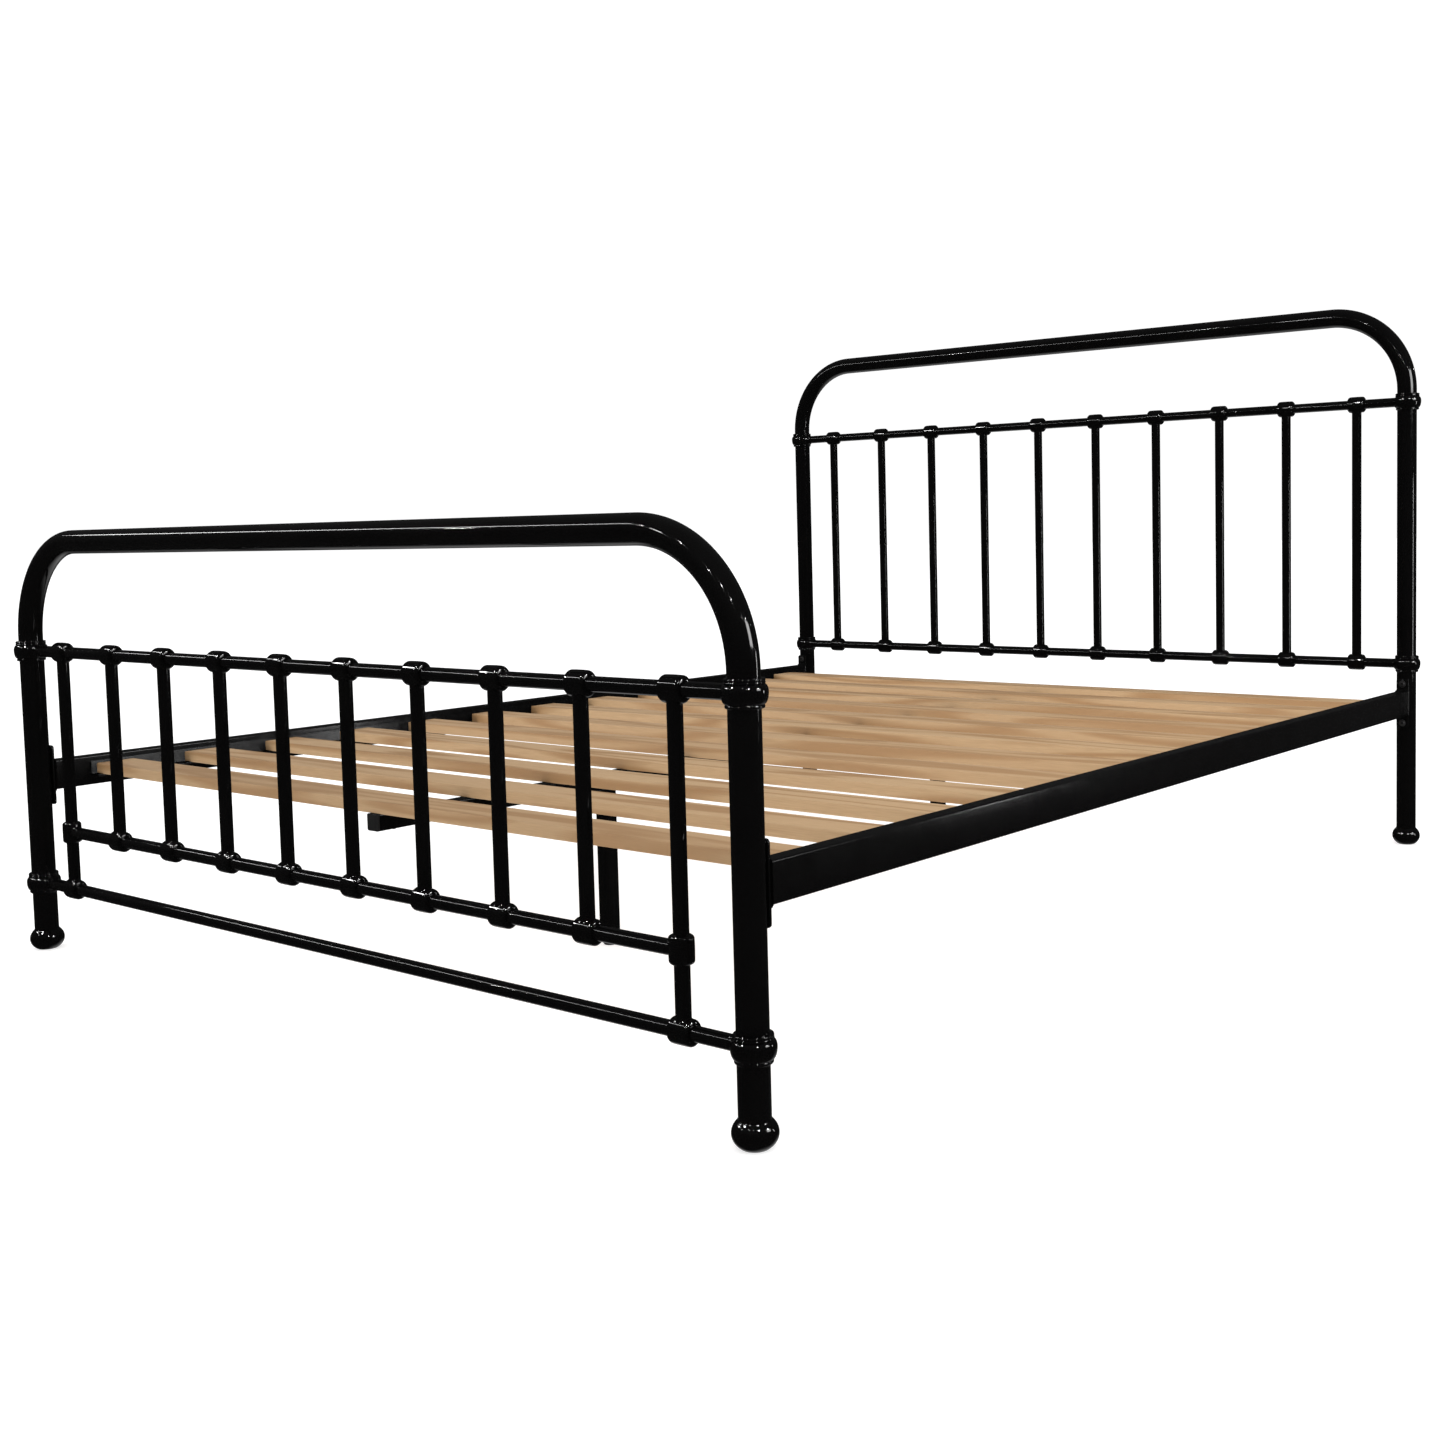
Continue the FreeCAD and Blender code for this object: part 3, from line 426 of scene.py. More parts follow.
def black_plastic():
    """Moulded nylon with a fine spark-eroded texture."""
    material, tree, shader = new_material("black_plastic")
    grain = noise_field(tree, 1500, detail=2)
    cloud = noise_field(tree, 60, detail=2)
    colour = blend_colours(tree, cloud, (0.009, 0.009, 0.009), (0.016, 0.016, 0.016))
    tree.links.new(colour, shader.inputs["Base Color"])
    tree.links.new(remap(tree, grain, 0.42, 0.58), shader.inputs["Roughness"])
    tree.links.new(bump(tree, grain, 0.05 * MM), shader.inputs["Normal"])
    return material


TUBE = enamel("enamel_tube", (0.05, 0.10), 0.0006 * MM, 0.008 * MM)
CASTING = enamel("enamel_casting", (0.03, 0.06), 0.002 * MM, 0.03 * MM)
RAIL = enamel("enamel_rail", (0.15, 0.24), 0.005 * MM, 0.020 * MM)
BOLT = bolt_black()
ZINC = zinc()
PINE = pine()
PLASTIC = black_plastic()


# ---------------------------------------------------------------- tubes

# Castings hide the ends of these tubes, so they are closed and their bores are left out.

def hoop(node):
    """One tube bent twice: post, bend, top, bend, post."""
    low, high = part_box(node)
    radius = (high.y - low.y) / 2
    y = (low.y + high.y) / 2
    half = high.x - radius
    top = high.z - radius
    side = Vector((0, 1, 0))
    rings = []

    def station(x, z, angle):
        """A ring square to the path, which runs at this angle above the X axis."""
        out = Vector((math.sin(angle), 0, -math.cos(angle)))
        rings.append(circle(Vector((x, y, z)), side, out, radius, TUBE_SIDES))

    station(-half, low.z, math.pi / 2)
    for sign in (-1, 1):
        for i in range(BEND_STEPS + 1):
            turn = math.pi / 2 * i / BEND_STEPS
            angle = math.pi / 2 - turn if sign < 0 else -turn
            x = sign * (half - BEND_RADIUS)
            z = top - BEND_RADIUS
            station(x - BEND_RADIUS * math.sin(angle), z + BEND_RADIUS * math.cos(angle), angle)
    station(half, low.z, -math.pi / 2)
    mesh = bmesh.new()
    add_loft(mesh, rings)
    make_piece(node + "_tube", mesh, TUBE, [node])


def rod(node, axis):
    """A straight round tube along X or Z."""
    low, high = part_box(node)
    radius = (high.y - low.y) / 2
    middle = centre_of((low, high))
    direction = Vector((1, 0, 0)) if axis == "X" else Vector((0, 0, 1))
    length = (high - low).dot(direction)
    mesh = bmesh.new()
    add_revolve(mesh, middle - direction * (length / 2), direction,
                [(0, radius), (length, radius)], ROD_SIDES)
    make_piece(node + "_tube", mesh, TUBE, [node])


# ---------------------------------------------------------------- castings

CASTINGS = bpy.data.collections.new("castings")


def roughen(mesh):
    """The slow unevenness of a small sand casting under its paint. A foot's underside
    stays on the floor."""
    mesh.normal_update()
    moves = []
    for vertex in mesh.verts:
        amount = noise.noise(vertex.co / CAST_LUMP_SIZE) * CAST_LUMP
        moves.append(vertex.normal * amount)
    for vertex, move in zip(mesh.verts, moves):
        vertex.co += move
        vertex.co.z = max(vertex.co.z, cad_low.z)


def make_casting(node, mesh):
    """One node's castings, in the collection that some lamps are kept for."""
    roughen(mesh)
    piece = make_piece(node + "_castings", mesh, CASTING, [node], sharp=55)
    CASTINGS.objects.link(piece)


def barrel_profile():
    """(along, radius) of the barrel round a rail, with a slight crown."""
    flat = KNUCKLE_HALF - KNUCKLE_ROUND
    crown = 0.25 * MM
    right = [(flat * i / 4, KNUCKLE_RADIUS - crown * (i / 4) ** 2) for i in range(5)]
    right += quarter(right[-1], (KNUCKLE_HALF, RAIL_RADIUS - BORE), ARC_STEPS, True)
    left = [(-along, radius) for along, radius in reversed(right[1:])]
    return left + right


def radius_at(profile, along):
    """Radius of a revolved profile at a distance along its axis."""
    for (x0, r0), (x1, r1) in zip(profile, profile[1:]):
        if x0 <= along <= x1 and x1 > x0:
            return r0 + (r1 - r0) * (along - x0) / (x1 - x0)
    return profile[-1][1]


def add_fillet(mesh, place, surface, radius, width, height):
    """A closed ring of fillet where a rod of this radius enters a curved surface.
    surface(a, b) is the height of the surface over the plane square to the rod."""
    rings = []
    for i in range(CAST_SIDES):
        angle = 2 * math.pi * i / CAST_SIDES
        a, b = math.cos(angle), math.sin(angle)
        inner = radius - 0.2 * MM
        outer = radius + width
        low = surface(outer * a, outer * b)
        corner = surface(radius * a, radius * b)
        ring = []
        for k in range(FILLET_STEPS + 1):
            t = k / FILLET_STEPS
            reach = inner * (1 - t) ** 2 + 2 * radius * t * (1 - t) + outer * t ** 2
            rise = (corner + height) * (1 - t) ** 2 + 2 * corner * t * (1 - t) + low * t ** 2
            ring.append(place @ Vector((reach * a, reach * b, rise)))
        sunk = min(low, corner) - 2 * MM
        ring.append(place @ Vector((outer * a, outer * b, sunk)))
        ring.append(place @ Vector((inner * a, inner * b, sunk)))
        rings.append(ring)
    add_loft(mesh, rings + [rings[0]], cap_start=False, cap_end=False)


def flattening(radius):
    """A knuckle's depth over its height: round where it meets the rail, and flattest at
    its full radius."""
    rise = max(0, (radius - RAIL_RADIUS) / (KNUCKLE_RADIUS - RAIL_RADIUS))
    return 1 - (1 - KNUCKLE_FLATTENING) * min(1, rise)


def add_knuckle(mesh, centre, rail_axis, spindle_axis):
    """A barrel round one tube, a little flattened front to back, and a fillet round the
    tube that butts into it."""
    profile = barrel_profile()
    third = spindle_axis.cross(rail_axis)
    rings = [circle(centre + rail_axis * along, third * flattening(radius), spindle_axis,
                    radius, CAST_SIDES)
             for along, radius in profile]
    add_loft(mesh, rings)
    place = Matrix((rail_axis, third, spindle_axis)).transposed().to_4x4()
    place.translation = centre

    def surface(along, across):
        radius = radius_at(profile, along)
        across /= flattening(radius)
        return math.sqrt(max(radius ** 2 - across ** 2, 0))

    add_fillet(mesh, place, surface, RAIL_RADIUS, FILLET_WIDTH, FILLET_HEIGHT)


def knuckles(node, rail_axis, spindle_axis):
    """Every knuckle of a node. spindle_axis(centre) is the way that the tube butting into
    it runs off. The barrel's middle is KNUCKLE_REACH from the other side of its box."""
    mesh = bmesh.new()
    for low, high in islands(node):
        centre = centre_of((low, high))
        spindle = Vector(spindle_axis(centre))
        edge = low if max(spindle) > 0 else high
        along = max(range(3), key=lambda i: abs(spindle[i]))
        centre[along] = edge[along] + KNUCKLE_REACH * (1 if max(spindle) > 0 else -1)
        add_knuckle(mesh, centre, Vector(rail_axis), spindle)
    make_casting(node, mesh)


def collar_profile():
    """(along, radius) of a collar from the bottom: a low lip, the bulge, two thin lips.
    Each swelling is (where it starts, crest, end; radius at its foot and crest), in mm."""
    swellings = [(-16.5, -14.4, -12.2, 20.9, 22.3), (-12.2, 1.6, 10.3, 21.4, 26.5),
                 (10.3, 11.8, 13.2, 21.9, 23.4), (13.2, 14.8, 16.5, 21.9, 23.2)]
    bore = POST_RADIUS - BORE
    points = [(-COLLAR_HALF, bore)]
    for start, crest, end, foot, peak in swellings:
        steps = 12 if peak > 25 else 5
        points.append((start * MM, foot * MM))
        points += quarter(points[-1], (crest * MM, peak * MM), steps, False)
        points += quarter(points[-1], (end * MM, (foot + 0.2) * MM), steps, True)
    points.append((COLLAR_HALF, bore))
    return points


def collars(node):
    """The ball-like castings that join the cross rails to the posts."""
    profile = collar_profile()
    up = Vector(UP)

    def surface(across, along):
        radius = radius_at(profile, along)
        return math.sqrt(max(radius ** 2 - across ** 2, 0))

    mesh = bmesh.new()
    for box in islands(node):
        centre = centre_of(box)
        add_revolve(mesh, centre, up, profile, CAST_SIDES + 16)
        inward = Vector((-math.copysign(1, centre.x), 0, 0))
        place = Matrix((up.cross(inward), up, inward)).transposed().to_4x4()
        place.translation = centre
        add_fillet(mesh, place, surface, RAIL_RADIUS, 1.6 * MM, 0.8 * MM)
    make_casting(node, mesh)


def ball_profile():
    """(along, radius) of a ball foot: flattened, with a small flat underneath."""
    start = math.asin(-BALL_CENTRE / BALL_RISE)
    end = math.acos((POST_RADIUS + 1.2 * MM) / BALL_RADIUS)
    points = [(0, BALL_RADIUS * math.cos(start) - 1.2 * MM)]
    for i in range(BALL_STEPS + 1):
        angle = start + (end - start) * i / BALL_STEPS
        points.append((BALL_CENTRE + BALL_RISE * math.sin(angle), BALL_RADIUS * math.cos(angle)))
    mouth = points[-1]
    points += quarter(mouth, (mouth[0] + 0.9 * MM, POST_RADIUS - BORE), 4, True)
    return points


def ball_feet(node):
    """The balls that the posts stand in."""
    mesh = bmesh.new()
    for low, high in islands(node):
        base = centre_of((low, high))
        base.z = low.z
        add_revolve(mesh, base, Vector(UP), ball_profile(), CAST_SIDES + 16)
    make_casting(node, mesh)


# ---------------------------------------------------------------- flat steel and bars

def bars(node, suffix, axis, corner, bevel, material):
    """Every solid of a node as a bar with rounded corners along one axis."""
    mesh = bmesh.new()
    width, height, length = SECTION_AXES[axis]
    for low, high in islands(node):
        size = high - low
        outline = rounded_rectangle(size[width], size[height], corner)
        add_prism(mesh, outline, centre_of((low, high)), axis, size[length], bevel)
    return make_piece(node + suffix, mesh, material, [node])


def ledger(node):
    """An angle: its shelf lies under the slats and its upright is against the rail."""
    low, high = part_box(node)
    width = high.x - low.x
    height = high.z - low.z
    side = math.copysign(1, low.x)
    corners = [(-width / 2, -height / 2), (width / 2, -height / 2), (width / 2, height / 2),
               (width / 2 - LEDGER_THICK, height / 2),
               (width / 2 - LEDGER_THICK, LEDGER_THICK - height / 2),
               (-width / 2, LEDGER_THICK - height / 2)]
    if side < 0:
        corners = [(-a, b) for a, b in reversed(corners)]
    mesh = bmesh.new()
    add_prism(mesh, rounded_polygon(corners, 0.8 * MM, 3), centre_of((low, high)),
              "Y", high.y - low.y, 0.4 * MM)
    make_piece(node + "_angle", mesh, RAIL, [node])


def beam_plugs(node):
    """Moulded caps that close the beam's ends, each with a grip inside it."""
    mesh = bmesh.new()
    for low, high in islands(node):
        size = high - low
        middle = centre_of((low, high))
        outward = math.copysign(1, middle.y)
        face = high.y if outward > 0 else low.y
        cap = middle.copy()
        cap.y = face - outward * PLUG_CAP / 2
        outline = rounded_rectangle(size.x, size.z, TUBE_CORNER)
        add_prism(mesh, outline, cap, "Y", PLUG_CAP, 1 * MM)
        grip_length = size.y - PLUG_CAP
        grip = middle.copy()
        grip.y = face - outward * (PLUG_CAP + grip_length / 2)
        inner = rounded_rectangle(size.x - PLUG_INSET, size.z - PLUG_INSET, PLUG_CORNER)
        add_prism(mesh, inner, grip, "Y", grip_length, PLUG_EASE)
    make_piece(node + "_caps", mesh, PLASTIC, [node])


def square_ring(centre, z, size, corner):
    """A rounded square at a height, its points evenly spread by angle so that it can be
    joined to a round bore."""
    inner = size / 2 - corner
    points = []
    for i in range(SLEEVE_SIDES):
        angle = 2 * math.pi * i / SLEEVE_SIDES
        x, y = math.cos(angle), math.sin(angle)
        big, small = max(abs(x), abs(y)), min(abs(x), abs(y))
        reach = size / 2 / big
        if small * reach > inner:
            along = inner * (big + small)
            reach = along + math.sqrt(along ** 2 - 2 * inner ** 2 + corner ** 2)
        points.append(Vector((centre.x + reach * x, centre.y + reach * y, z)))
    return points


def add_sleeve(mesh, outer, bore):
    """A hollow body: rings up its outside, then rings down its bore."""
    add_loft(mesh, outer + bore + [outer[0]], cap_start=False, cap_end=False)


def centre_leg(node):
    """A square tube, open at both ends, with its end edges eased."""
    low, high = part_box(node)
    middle = centre_of((low, high))
    size = high.x - low.x
    steps = [(low.z, size - 2 * TUBE_EASE), (low.z + TUBE_EASE, size),
             (high.z - TUBE_EASE, size), (high.z, size - 2 * TUBE_EASE)]
    outer = [square_ring(middle, z, width, TUBE_CORNER) for z, width in steps]
    bore = [square_ring(middle, z, size - 2 * LEG_WALL, TUBE_CORNER - LEG_WALL)
            for z in (high.z, low.z)]
    mesh = bmesh.new()
    add_sleeve(mesh, outer, bore)
    make_piece(node + "_bar", mesh, RAIL, [node])


def glide_sockets(node):
    """A moulded cap and grip in each leg's end, bored through for the glide's stem."""
    mesh = bmesh.new()
    x_axis = Vector((1, 0, 0))
    y_axis = Vector((0, 1, 0))
    for low, high in islands(node):
        middle = centre_of((low, high))
        size = high.x - low.x
        grip = size - PLUG_INSET
        shoulder = low.z + PLUG_CAP
        steps = [(low.z, size - 2 * PLUG_EASE), (low.z + PLUG_EASE, size), (shoulder, size),
                 (shoulder, grip), (high.z - PLUG_EASE, grip), (high.z, grip - 2 * PLUG_EASE)]
        outer = [square_ring(middle, z, width, PLUG_CORNER) for z, width in steps]
        bore = [circle(Vector((middle.x, middle.y, z)), x_axis, y_axis, SOCKET_BORE / 2,
                       SLEEVE_SIDES)
                for z in (high.z, low.z)]
        add_sleeve(mesh, outer, bore)
    make_piece(node + "_caps", mesh, PLASTIC, [node])


def weld_path(outline):
    """Points round the outline, its long sides divided about every WELD_STEP. Each has
    its reach: how far and which way the bead's foot lies from it."""
    wide = shrunk(outline, -WELD_LEG)
    points = []
    for i, corner in enumerate(outline):
        following = (i + 1) % len(outline)
        start = Vector(corner)
        end = Vector(outline[following])
        reach = Vector(wide[i]) - start
        next_reach = Vector(wide[following]) - end
        count = max(1, int((end - start).length / WELD_STEP))
        for k in range(count):
            points.append((start.lerp(end, k / count), reach.lerp(next_reach, k / count)))
    return points


def add_weld(mesh, outline, centre, outward):
    """A rippled bead round a rail of this outline, where it meets a plate across Y."""
    rings = []
    travelled = 0.0
    previous = Vector(outline[-1])
    for point, reach in weld_path(outline):
        travelled += (point - previous).length
        previous = point
        ripple = 1 + WELD_RIPPLE * math.sin(2 * math.pi * travelled / WELD_RIPPLE_PITCH)
        ring = []
        for k in range(WELD_STEPS + 1):
            angle = math.pi / 2 * k / WELD_STEPS
            across = (1 - math.sin(angle)) * 0.6 + (1 - k / WELD_STEPS) * 0.4
            along = (1 - math.cos(angle)) * 0.6 + k / WELD_STEPS * 0.4
            place = point + reach * across * ripple
            ring.append(centre + Vector((place.x, -outward * along * WELD_LEG * ripple, place.y)))
        buried = point - reach * 0.15
        ring.append(centre + Vector((buried.x, -outward * WELD_LEG * 0.9, buried.y)))
        ring.append(centre + Vector((buried.x, outward * 0.3 * MM, buried.y)))
        rings.append(ring)
    add_loft(mesh, rings + [rings[0]], cap_start=False, cap_end=False)


def side_rail(node):
    """A rectangular tube, closed by its end plates, with a bead of weld at each."""
    low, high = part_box(node)
    size = high - low
    middle = centre_of((low, high))
    mesh = bmesh.new()
    outline = rounded_rectangle(size.x, size.z, TUBE_CORNER)
    add_prism(mesh, outline, middle, "Y", size.y, 0.1 * MM)
    for outward in (-1, 1):
        end = middle + Vector((0, outward * size.y / 2, 0))
        add_weld(mesh, outline, end, outward)
    make_piece(node + "_bar", mesh, RAIL, [node])


# ---------------------------------------------------------------- fasteners and glides

def hexagon(flats):
    """Radius of a hexagon's outline at an angle."""
    def radius(angle):
        return flats / 2 / math.cos((angle + math.pi / 6) % (math.pi / 3) - math.pi / 6)
    return radius


def cross(reach, half_width):
    """Radius of a cross recess' outline at an angle."""
    def radius(angle):
        slant = abs((angle + math.pi / 4) % (math.pi / 2) - math.pi / 4)
        return min(reach, half_width / max(math.sin(slant), 0.01))
    return radius


def add_driven(mesh, base, axis, profile, drive, depth):
    """A turned body whose last face has a recess of the outline drive(angle)."""
    side, up = frame_along(axis)
    rings = [circle(base + axis * along, side, up, radius, DRIVE_SIDES)
             for along, radius in profile]
    top = profile[-1][0]
    for along in (top, top - depth):
        ring = []
        for i in range(DRIVE_SIDES):
            angle = 2 * math.pi * i / DRIVE_SIDES
            arm = side * math.cos(angle) + up * math.sin(angle)
            ring.append(base + axis * along + arm * drive(angle))
        rings.append(ring)
    add_loft(mesh, rings)


def rail_bolts(node):
    """Bolts with a hexagon socket, whose heads face the middle of the bed. The side of a
    head curves inwards, where CAD's dome bulges."""
    mesh = bmesh.new()
    for low, high in islands(node):
        middle = centre_of((low, high))
        outward = math.copysign(1, middle.y)
        radius = (high.x - low.x) / 2
        shank = high.y - low.y - BOLT_HEAD
        seat = middle.copy()
        seat.y = (low.y if outward > 0 else high.y) + outward * BOLT_HEAD
        rim = (1.2 * MM, radius)
        profile = [(-shank, 3.3 * MM), (0.8 * MM - shank, BOLT_RADIUS), (0, BOLT_RADIUS),
                   (0, radius - 0.3 * MM), (0.3 * MM, radius), rim]
        profile += quarter(rim, (BOLT_HEAD, BOLT_HEAD_TOP), ARC_STEPS, False)
        add_driven(mesh, seat, Vector((0, -outward, 0)), profile,
                   hexagon(SOCKET_FLATS), SOCKET_DEPTH)
    make_piece(node + "_steel", mesh, BOLT, [node])


def screws(node):
    """Wood screws driven from below, with a cross recess in a head whose side curves
    inwards. Separate ridges stand for the thread."""
    mesh = bmesh.new()
    for low, high in islands(node):
        middle = centre_of((low, high))
        radius = (high.x - low.x) / 2
        seat = Vector((middle.x, middle.y, low.z + SCREW_HEAD))
        shank = high.z - low.z - SCREW_HEAD
        profile = [(-shank, 0.2 * MM)]
        turns = int((shank - 2 * SCREW_POINT) / SCREW_PITCH)
        for i in range(turns):
            along = SCREW_POINT - shank + i * SCREW_PITCH
            profile += [(along, SCREW_ROOT), (along + SCREW_PITCH / 2, SCREW_RADIUS)]
        profile += [(-1.5 * MM, SCREW_RADIUS), (0, SCREW_RADIUS), (0, radius), (0.9 * MM, radius)]
        profile += quarter((0.9 * MM, radius), (SCREW_HEAD, 2.1 * MM), 5, False)
        add_driven(mesh, seat, Vector((0, 0, -1)), profile, cross(1.8 * MM, 0.45 * MM), 1.5 * MM)
    make_piece(node + "_steel", mesh, ZINC, [node])


def leg_bolts(node):
    """Hexagon-head bolts up through the leg plates, chamfered on their crowns."""
    mesh = bmesh.new()
    flats = hexagon(HEX_FLATS)
    for low, high in islands(node):
        middle = centre_of((low, high))
        seat = low.z + HEX_HEAD

        def ring(z, limit):
            return [Vector((middle.x + min(flats(angle), limit) * math.cos(angle),
                            middle.y + min(flats(angle), limit) * math.sin(angle), z))
                    for angle in (2 * math.pi * i / DRIVE_SIDES for i in range(DRIVE_SIDES))]

        corner = HEX_FLATS / math.sqrt(3)
        rings = [ring(low.z, HEX_FLATS / 2 - 0.2 * MM),
                 ring(low.z + 0.15 * MM, HEX_FLATS / 2 + 0.1 * MM),
                 ring(low.z + 0.6 * MM, corner), ring(seat, corner),
                 ring(seat, HEX_SHANK), ring(high.z - 0.8 * MM, HEX_SHANK),
                 ring(high.z, 2.3 * MM)]
        add_loft(mesh, rings)
    make_piece(node + "_steel", mesh, BOLT, [node])


def glide(node, body):
    """A levelling glide: a round pad whose edges curve inwards, on a stem with ridges for
    a thread."""
    low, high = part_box(node)
    base = centre_of((low, high))
    base.z = low.z
    radius = (high.x - low.x) / 2
    tread = radius - 2 * MM
    profile = [(0, tread - 0.6 * MM), (0.3 * MM, tread)]
    profile += quarter((0.3 * MM, tread), (3 * MM, radius), 5, True)
    profile += [(GLIDE_HEIGHT - GLIDE_EDGE, radius)]
    profile += quarter(profile[-1], (GLIDE_HEIGHT, radius - GLIDE_EDGE), 4, False)
    pad = bmesh.new()
    add_revolve(pad, base, Vector(UP), profile, CAST_SIDES)
    make_piece(node + "_pad", pad, PLASTIC, [node], body=body)
    stem = [(GLIDE_HEIGHT - 1 * MM, STEM_ROOT)]
    length = high.z - low.z
    turns = int((length - GLIDE_HEIGHT) / STEM_PITCH)
    for i in range(turns):
        along = GLIDE_HEIGHT + i * STEM_PITCH
        stem += [(along, STEM_ROOT), (along + STEM_PITCH / 2, STEM_RADIUS)]
    stem += [(length - 0.5 * MM, STEM_ROOT), (length, 2.8 * MM)]
    screw = bmesh.new()
    add_revolve(screw, base, Vector(UP), stem, ROD_SIDES)
    make_piece(node + "_stem", screw, ZINC, body=body, sharp=30)


# ---------------------------------------------------------------- build

for board, rails in (("footboard", ("upper", "lower", "bottom")),
                     ("headboard", ("upper", "lower"))):
    hoop(board + "_hoop")
    for rail in rails:
        rod("%s_%s_rail" % (board, rail), "X")
    for number in range(1, 11):
        rod("%s_spindle_%02d" % (board, number), "Z")
    collars(board + "_post_collars")
    ball_feet(board + "_ball_feet")

knuckles("footboard_upper_knuckles", ALONG_X, lambda centre: DOWN)
knuckles("footboard_lower_knuckles", ALONG_X, lambda centre: UP)
knuckles("footboard_bottom_knuckles", ALONG_X, lambda centre: UP)
knuckles("headboard_upper_knuckles", ALONG_X, lambda centre: DOWN)
knuckles("headboard_lower_knuckles", ALONG_X, lambda centre: UP)
knuckles("footboard_outer_knuckles", UP, lambda centre: (-math.copysign(1, centre.x), 0, 0))

for side in ("left", "right"):
    side_rail(side + "_side_rail")
    ledger(side + "_slat_ledger")
bars("centre_beam", "_bar", "Y", TUBE_CORNER, TUBE_EASE, RAIL)
beam_plugs("beam_end_plugs")
for end in ("foot", "head"):
    centre_leg(end + "_centre_leg")
    glide(end + "_leg_glide", end + "_glide")
bars("centre_leg_plates", "_steel", "Z", 4 * MM, 0.5 * MM, RAIL)
glide_sockets("leg_glide_sockets")
bars("side_rail_end_plates", "_steel", "Y", 5 * MM, 0.7 * MM, RAIL)
rail_bolts("rail_bolts")
screws("ledger_screws")
screws("beam_screws")
leg_bolts("centre_leg_bolts")
slats = bars("bed_slats", "_boards", "X", 2 * MM, 1.5 * MM, PINE)
slats.visible_glossy = False

for node in ("post_thread_inserts", "beam_clinch_nuts"):
    data = frame["nodes"][node].data
    data.materials.clear()
    data.materials.append(ZINC)


# ---------------------------------------------------------------- floor, light, camera

FLOOR_HALF = 40
CEILING = 2.6
# Most lamps face this point, about the middle of the footboard.
FOOTBOARD = (0, -1.0, 0.5)


def floor():
    """A flat white floor; its glow keeps the shade under the bed as faint as in a studio."""
    mesh = bmesh.new()
    bmesh.ops.create_grid(mesh, x_segments=1, y_segments=1, size=FLOOR_HALF)
    data = bpy.data.meshes.new("floor")
    mesh.to_mesh(data)
    mesh.free()
    material, tree, shader = new_material("floor_paper")
    tone = blend_colours(tree, noise_field(tree, 2), (0.60, 0.60, 0.60), (0.64, 0.64, 0.64))
    tree.links.new(tone, shader.inputs["Base Color"])
    shader.inputs["Roughness"].default_value = 0.9
    shader.inputs["Specular IOR Level"].default_value = 0.1
    shader.inputs["Emission Color"].default_value = (1, 1, 1, 1)
    shader.inputs["Emission Strength"].default_value = 0.65
    data.materials.append(material)
    plane = bpy.data.objects.new("floor", data)
    plane.visible_glossy = False
    bpy.context.scene.collection.objects.link(plane)


def add_math(tree, operation, first, second):
    node = tree.nodes.new("ShaderNodeMath")
    node.operation = operation
    tree.links.new(first, node.inputs[0])
    tree.links.new(second, node.inputs[1])
    return node.outputs[0]


def world():
    """White all round for the camera and for soft light. What the gloss paint mirrors is
    a dark room under a faint ceiling, with a paler floor beyond the bed, on its left."""
    made = bpy.data.worlds.new("studio")
    made.use_nodes = True
    bpy.context.scene.world = made
    tree = made.node_tree
    white = tree.nodes["Background"]
    white.inputs["Color"].default_value = (1, 1, 1, 1)
    white.inputs["Strength"].default_value = 1.05
    room = tree.nodes.new("ShaderNodeBackground")
    coords = tree.nodes.new("ShaderNodeTexCoord")
    split = tree.nodes.new("ShaderNodeSeparateXYZ")
    tree.links.new(coords.outputs["Generated"], split.inputs["Vector"])
    beyond = remap(tree, split.outputs["Y"], 0, 1, 0.1, 0.4)
    leftward = remap(tree, split.outputs["X"], 1, 0, -0.2, 0.3)
    below = remap(tree, split.outputs["Z"], 0.7, 0, -0.55, -0.3)
    corner = add_math(tree, "MULTIPLY", beyond, leftward)
    glow = add_math(tree, "MULTIPLY", below, corner)
    ceiling = remap(tree, split.outputs["Z"], 0.02, 0.07, 0, 0.9)
    tree.links.new(add_math(tree, "ADD", glow, ceiling), room.inputs["Strength"])
    path = tree.nodes.new("ShaderNodeLightPath")
    mix = tree.nodes.new("ShaderNodeMixShader")
    tree.links.new(path.outputs["Is Glossy Ray"], mix.inputs["Fac"])
    tree.links.new(white.outputs["Background"], mix.inputs[1])
    tree.links.new(room.outputs["Background"], mix.inputs[2])
    tree.links.new(mix.outputs["Shader"], tree.nodes["World Output"].inputs["Surface"])


def panel(name, start, end, target, height, power, mirrored_only=False):
    """A rectangular light whose long middle line runs from start to end."""
    start, end, target = Vector(start), Vector(end), Vector(target)
    middle = (start + end) / 2
    along = (end - start).normalized()
    back = middle - target
    back = (back - along * back.dot(along)).normalized()
    data = bpy.data.lights.new(name, "AREA")
    data.shape = "RECTANGLE"
    data.size = (end - start).length
    data.size_y = height
    data.energy = power
    lamp = bpy.data.objects.new(name, data)
    turn = Matrix((along, back.cross(along), back)).transposed().to_4x4()
    lamp.matrix_world = Matrix.Translation(middle) @ turn
    lamp.visible_camera = False
    lamp.visible_diffuse = not mirrored_only
    bpy.context.scene.collection.objects.link(lamp)
    return lamp


def ceiling_lamps(places, half, power, receivers=None):
    """Small bright lamps, this far from middle to edge, that only show as dots in the
    gloss paint of what receives them."""
    for x, y in places:
        lamp = panel("ceiling_lamp", (x - half, y, CEILING), (x + half, y, CEILING), FOOTBOARD,
                     2 * half, power, True)
        lamp.light_linking.receiver_collection = receivers


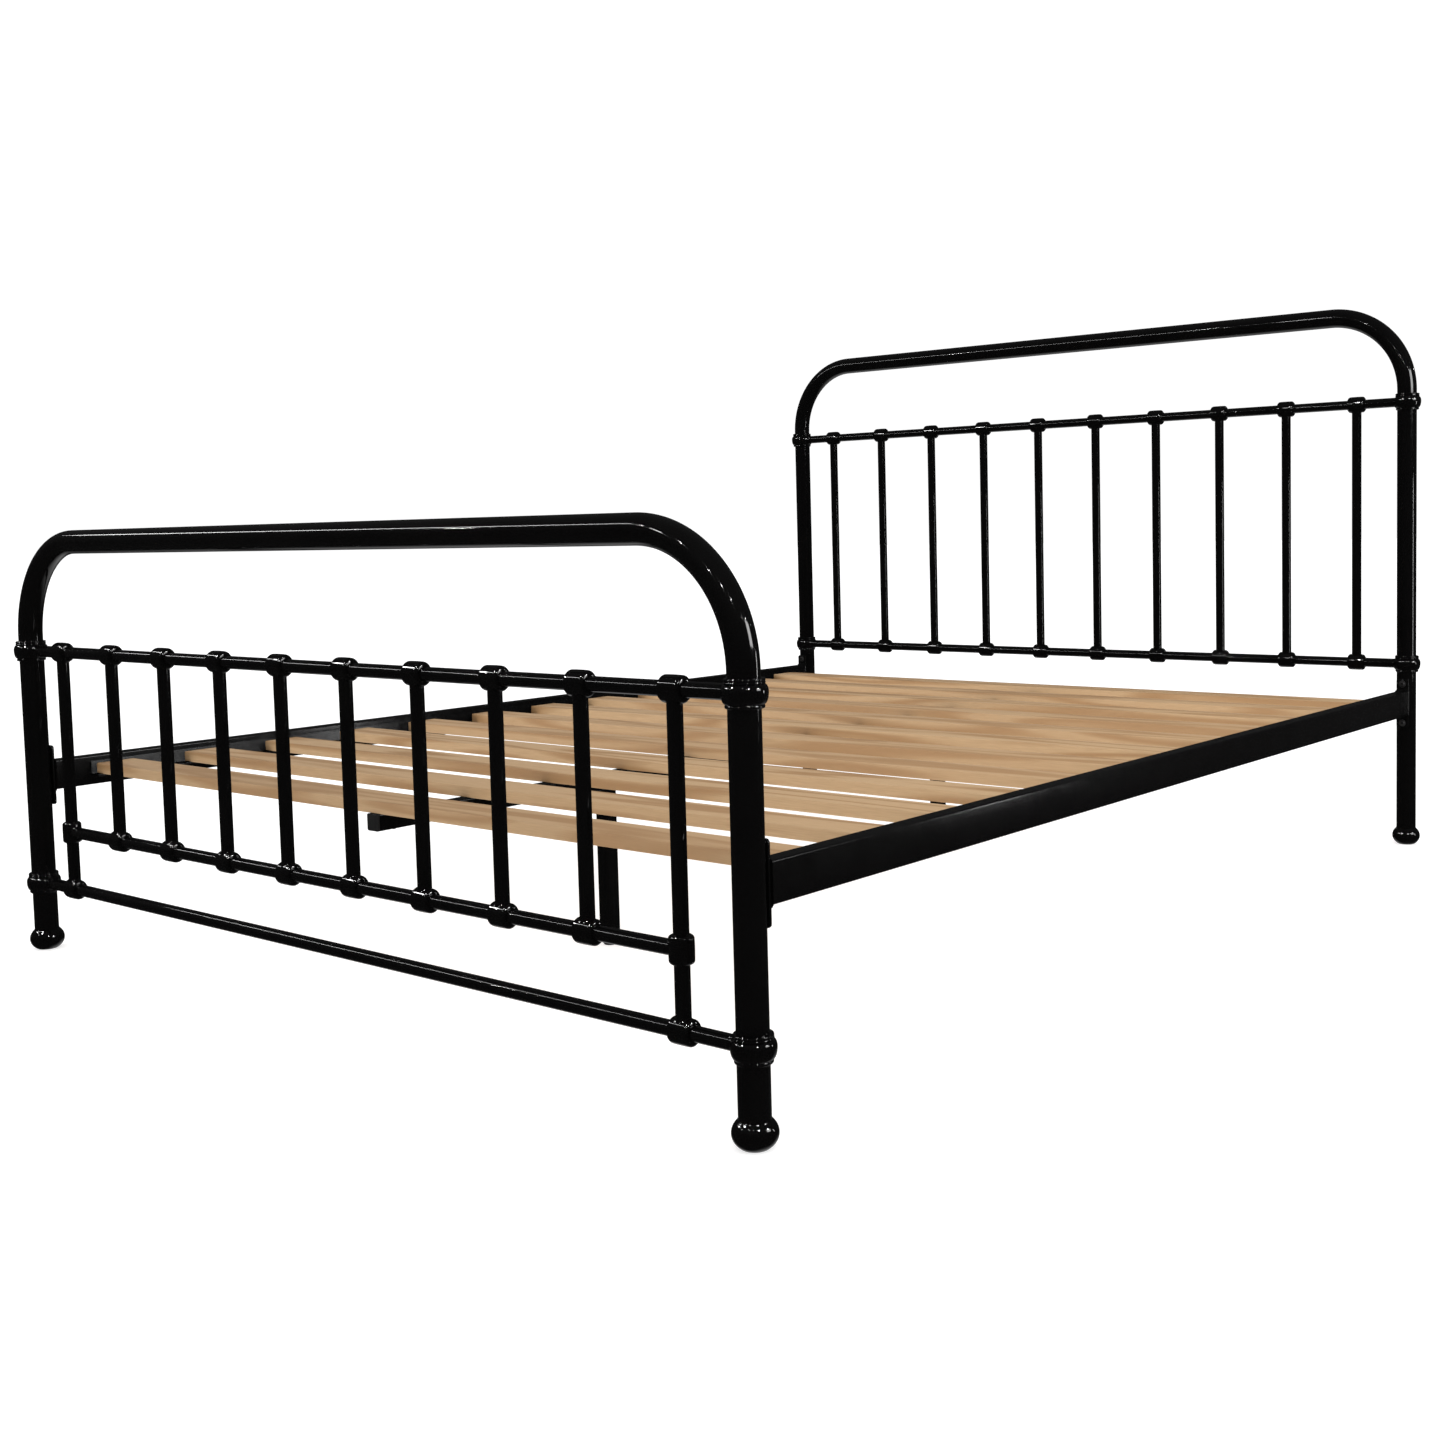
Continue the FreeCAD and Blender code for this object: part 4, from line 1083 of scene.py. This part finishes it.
def camera():
    """The photograph's viewing angle: from the right of the foot end, near bed height."""
    azimuth = math.radians(38.785)
    elevation = math.radians(4.064)
    roll = math.radians(-1.319)
    place = Vector((1.975, -2.3935, 0.685))
    forward = Vector((-math.sin(azimuth) * math.cos(elevation),
                      math.cos(azimuth) * math.cos(elevation),
                      -math.sin(elevation)))
    right = Vector((math.cos(azimuth), math.sin(azimuth), 0))
    up = right.cross(forward)
    tilted_right = right * math.cos(roll) + up * math.sin(roll)
    tilted_up = up * math.cos(roll) - right * math.sin(roll)
    data = bpy.data.cameras.new("camera")
    data.sensor_width = 36
    data.lens = 41.583
    data.shift_x = -0.0605
    data.shift_y = -0.0546
    data.clip_end = 200
    viewer = bpy.data.objects.new("camera", data)
    turn = Matrix((tilted_right, tilted_up, -forward)).transposed().to_4x4()
    viewer.matrix_world = Matrix.Translation(place) @ turn
    bpy.context.scene.collection.objects.link(viewer)
    bpy.context.scene.camera = viewer


floor()
world()
panel("key", (-1.75, -3.15, 2.35), (-4.1, -1.75, 2.35), FOOTBOARD, 0.08, 13)
panel("side_window", (3.7, -0.25, 1.65), (3.9, 1.2, 1.65), (0.8, 1.0, 1.0), 1.0, 42)
panel("far_window", (2.56, 1.37, 0.2), (2.56, 1.37, 0.8), (0.8, -1.0, 0.5), 0.10, 4, True)
panel("front_window", (-1.5, -3.65, 2.3), (-1.25, -3.75, 2.3), FOOTBOARD, 0.12, 4, True)
key_glint = panel("key_glint", (-2.5, -2.7, 2.35), (-3.2, -2.28, 2.35), FOOTBOARD, 0.2, 28, True)
key_glint.light_linking.receiver_collection = CASTINGS
ceiling_lamps([(-3.5, -3.6), (-2.0, -3.8), (-0.4, -3.6), (0.9, -3.6), (1.9, -3.0), (2.8, -2.5),
               (4.3, -0.9), (4.3, 0.8), (4.3, 4.4)], 0.025, 3)
# The castings are so curved that a dot of the same size takes a larger lamp.
ceiling_lamps([(-0.6, -2.6), (3.2, -2.2), (4.3, 0.8)], 0.13, 60, CASTINGS)
camera()
bpy.context.scene.view_settings.view_transform = "Standard"
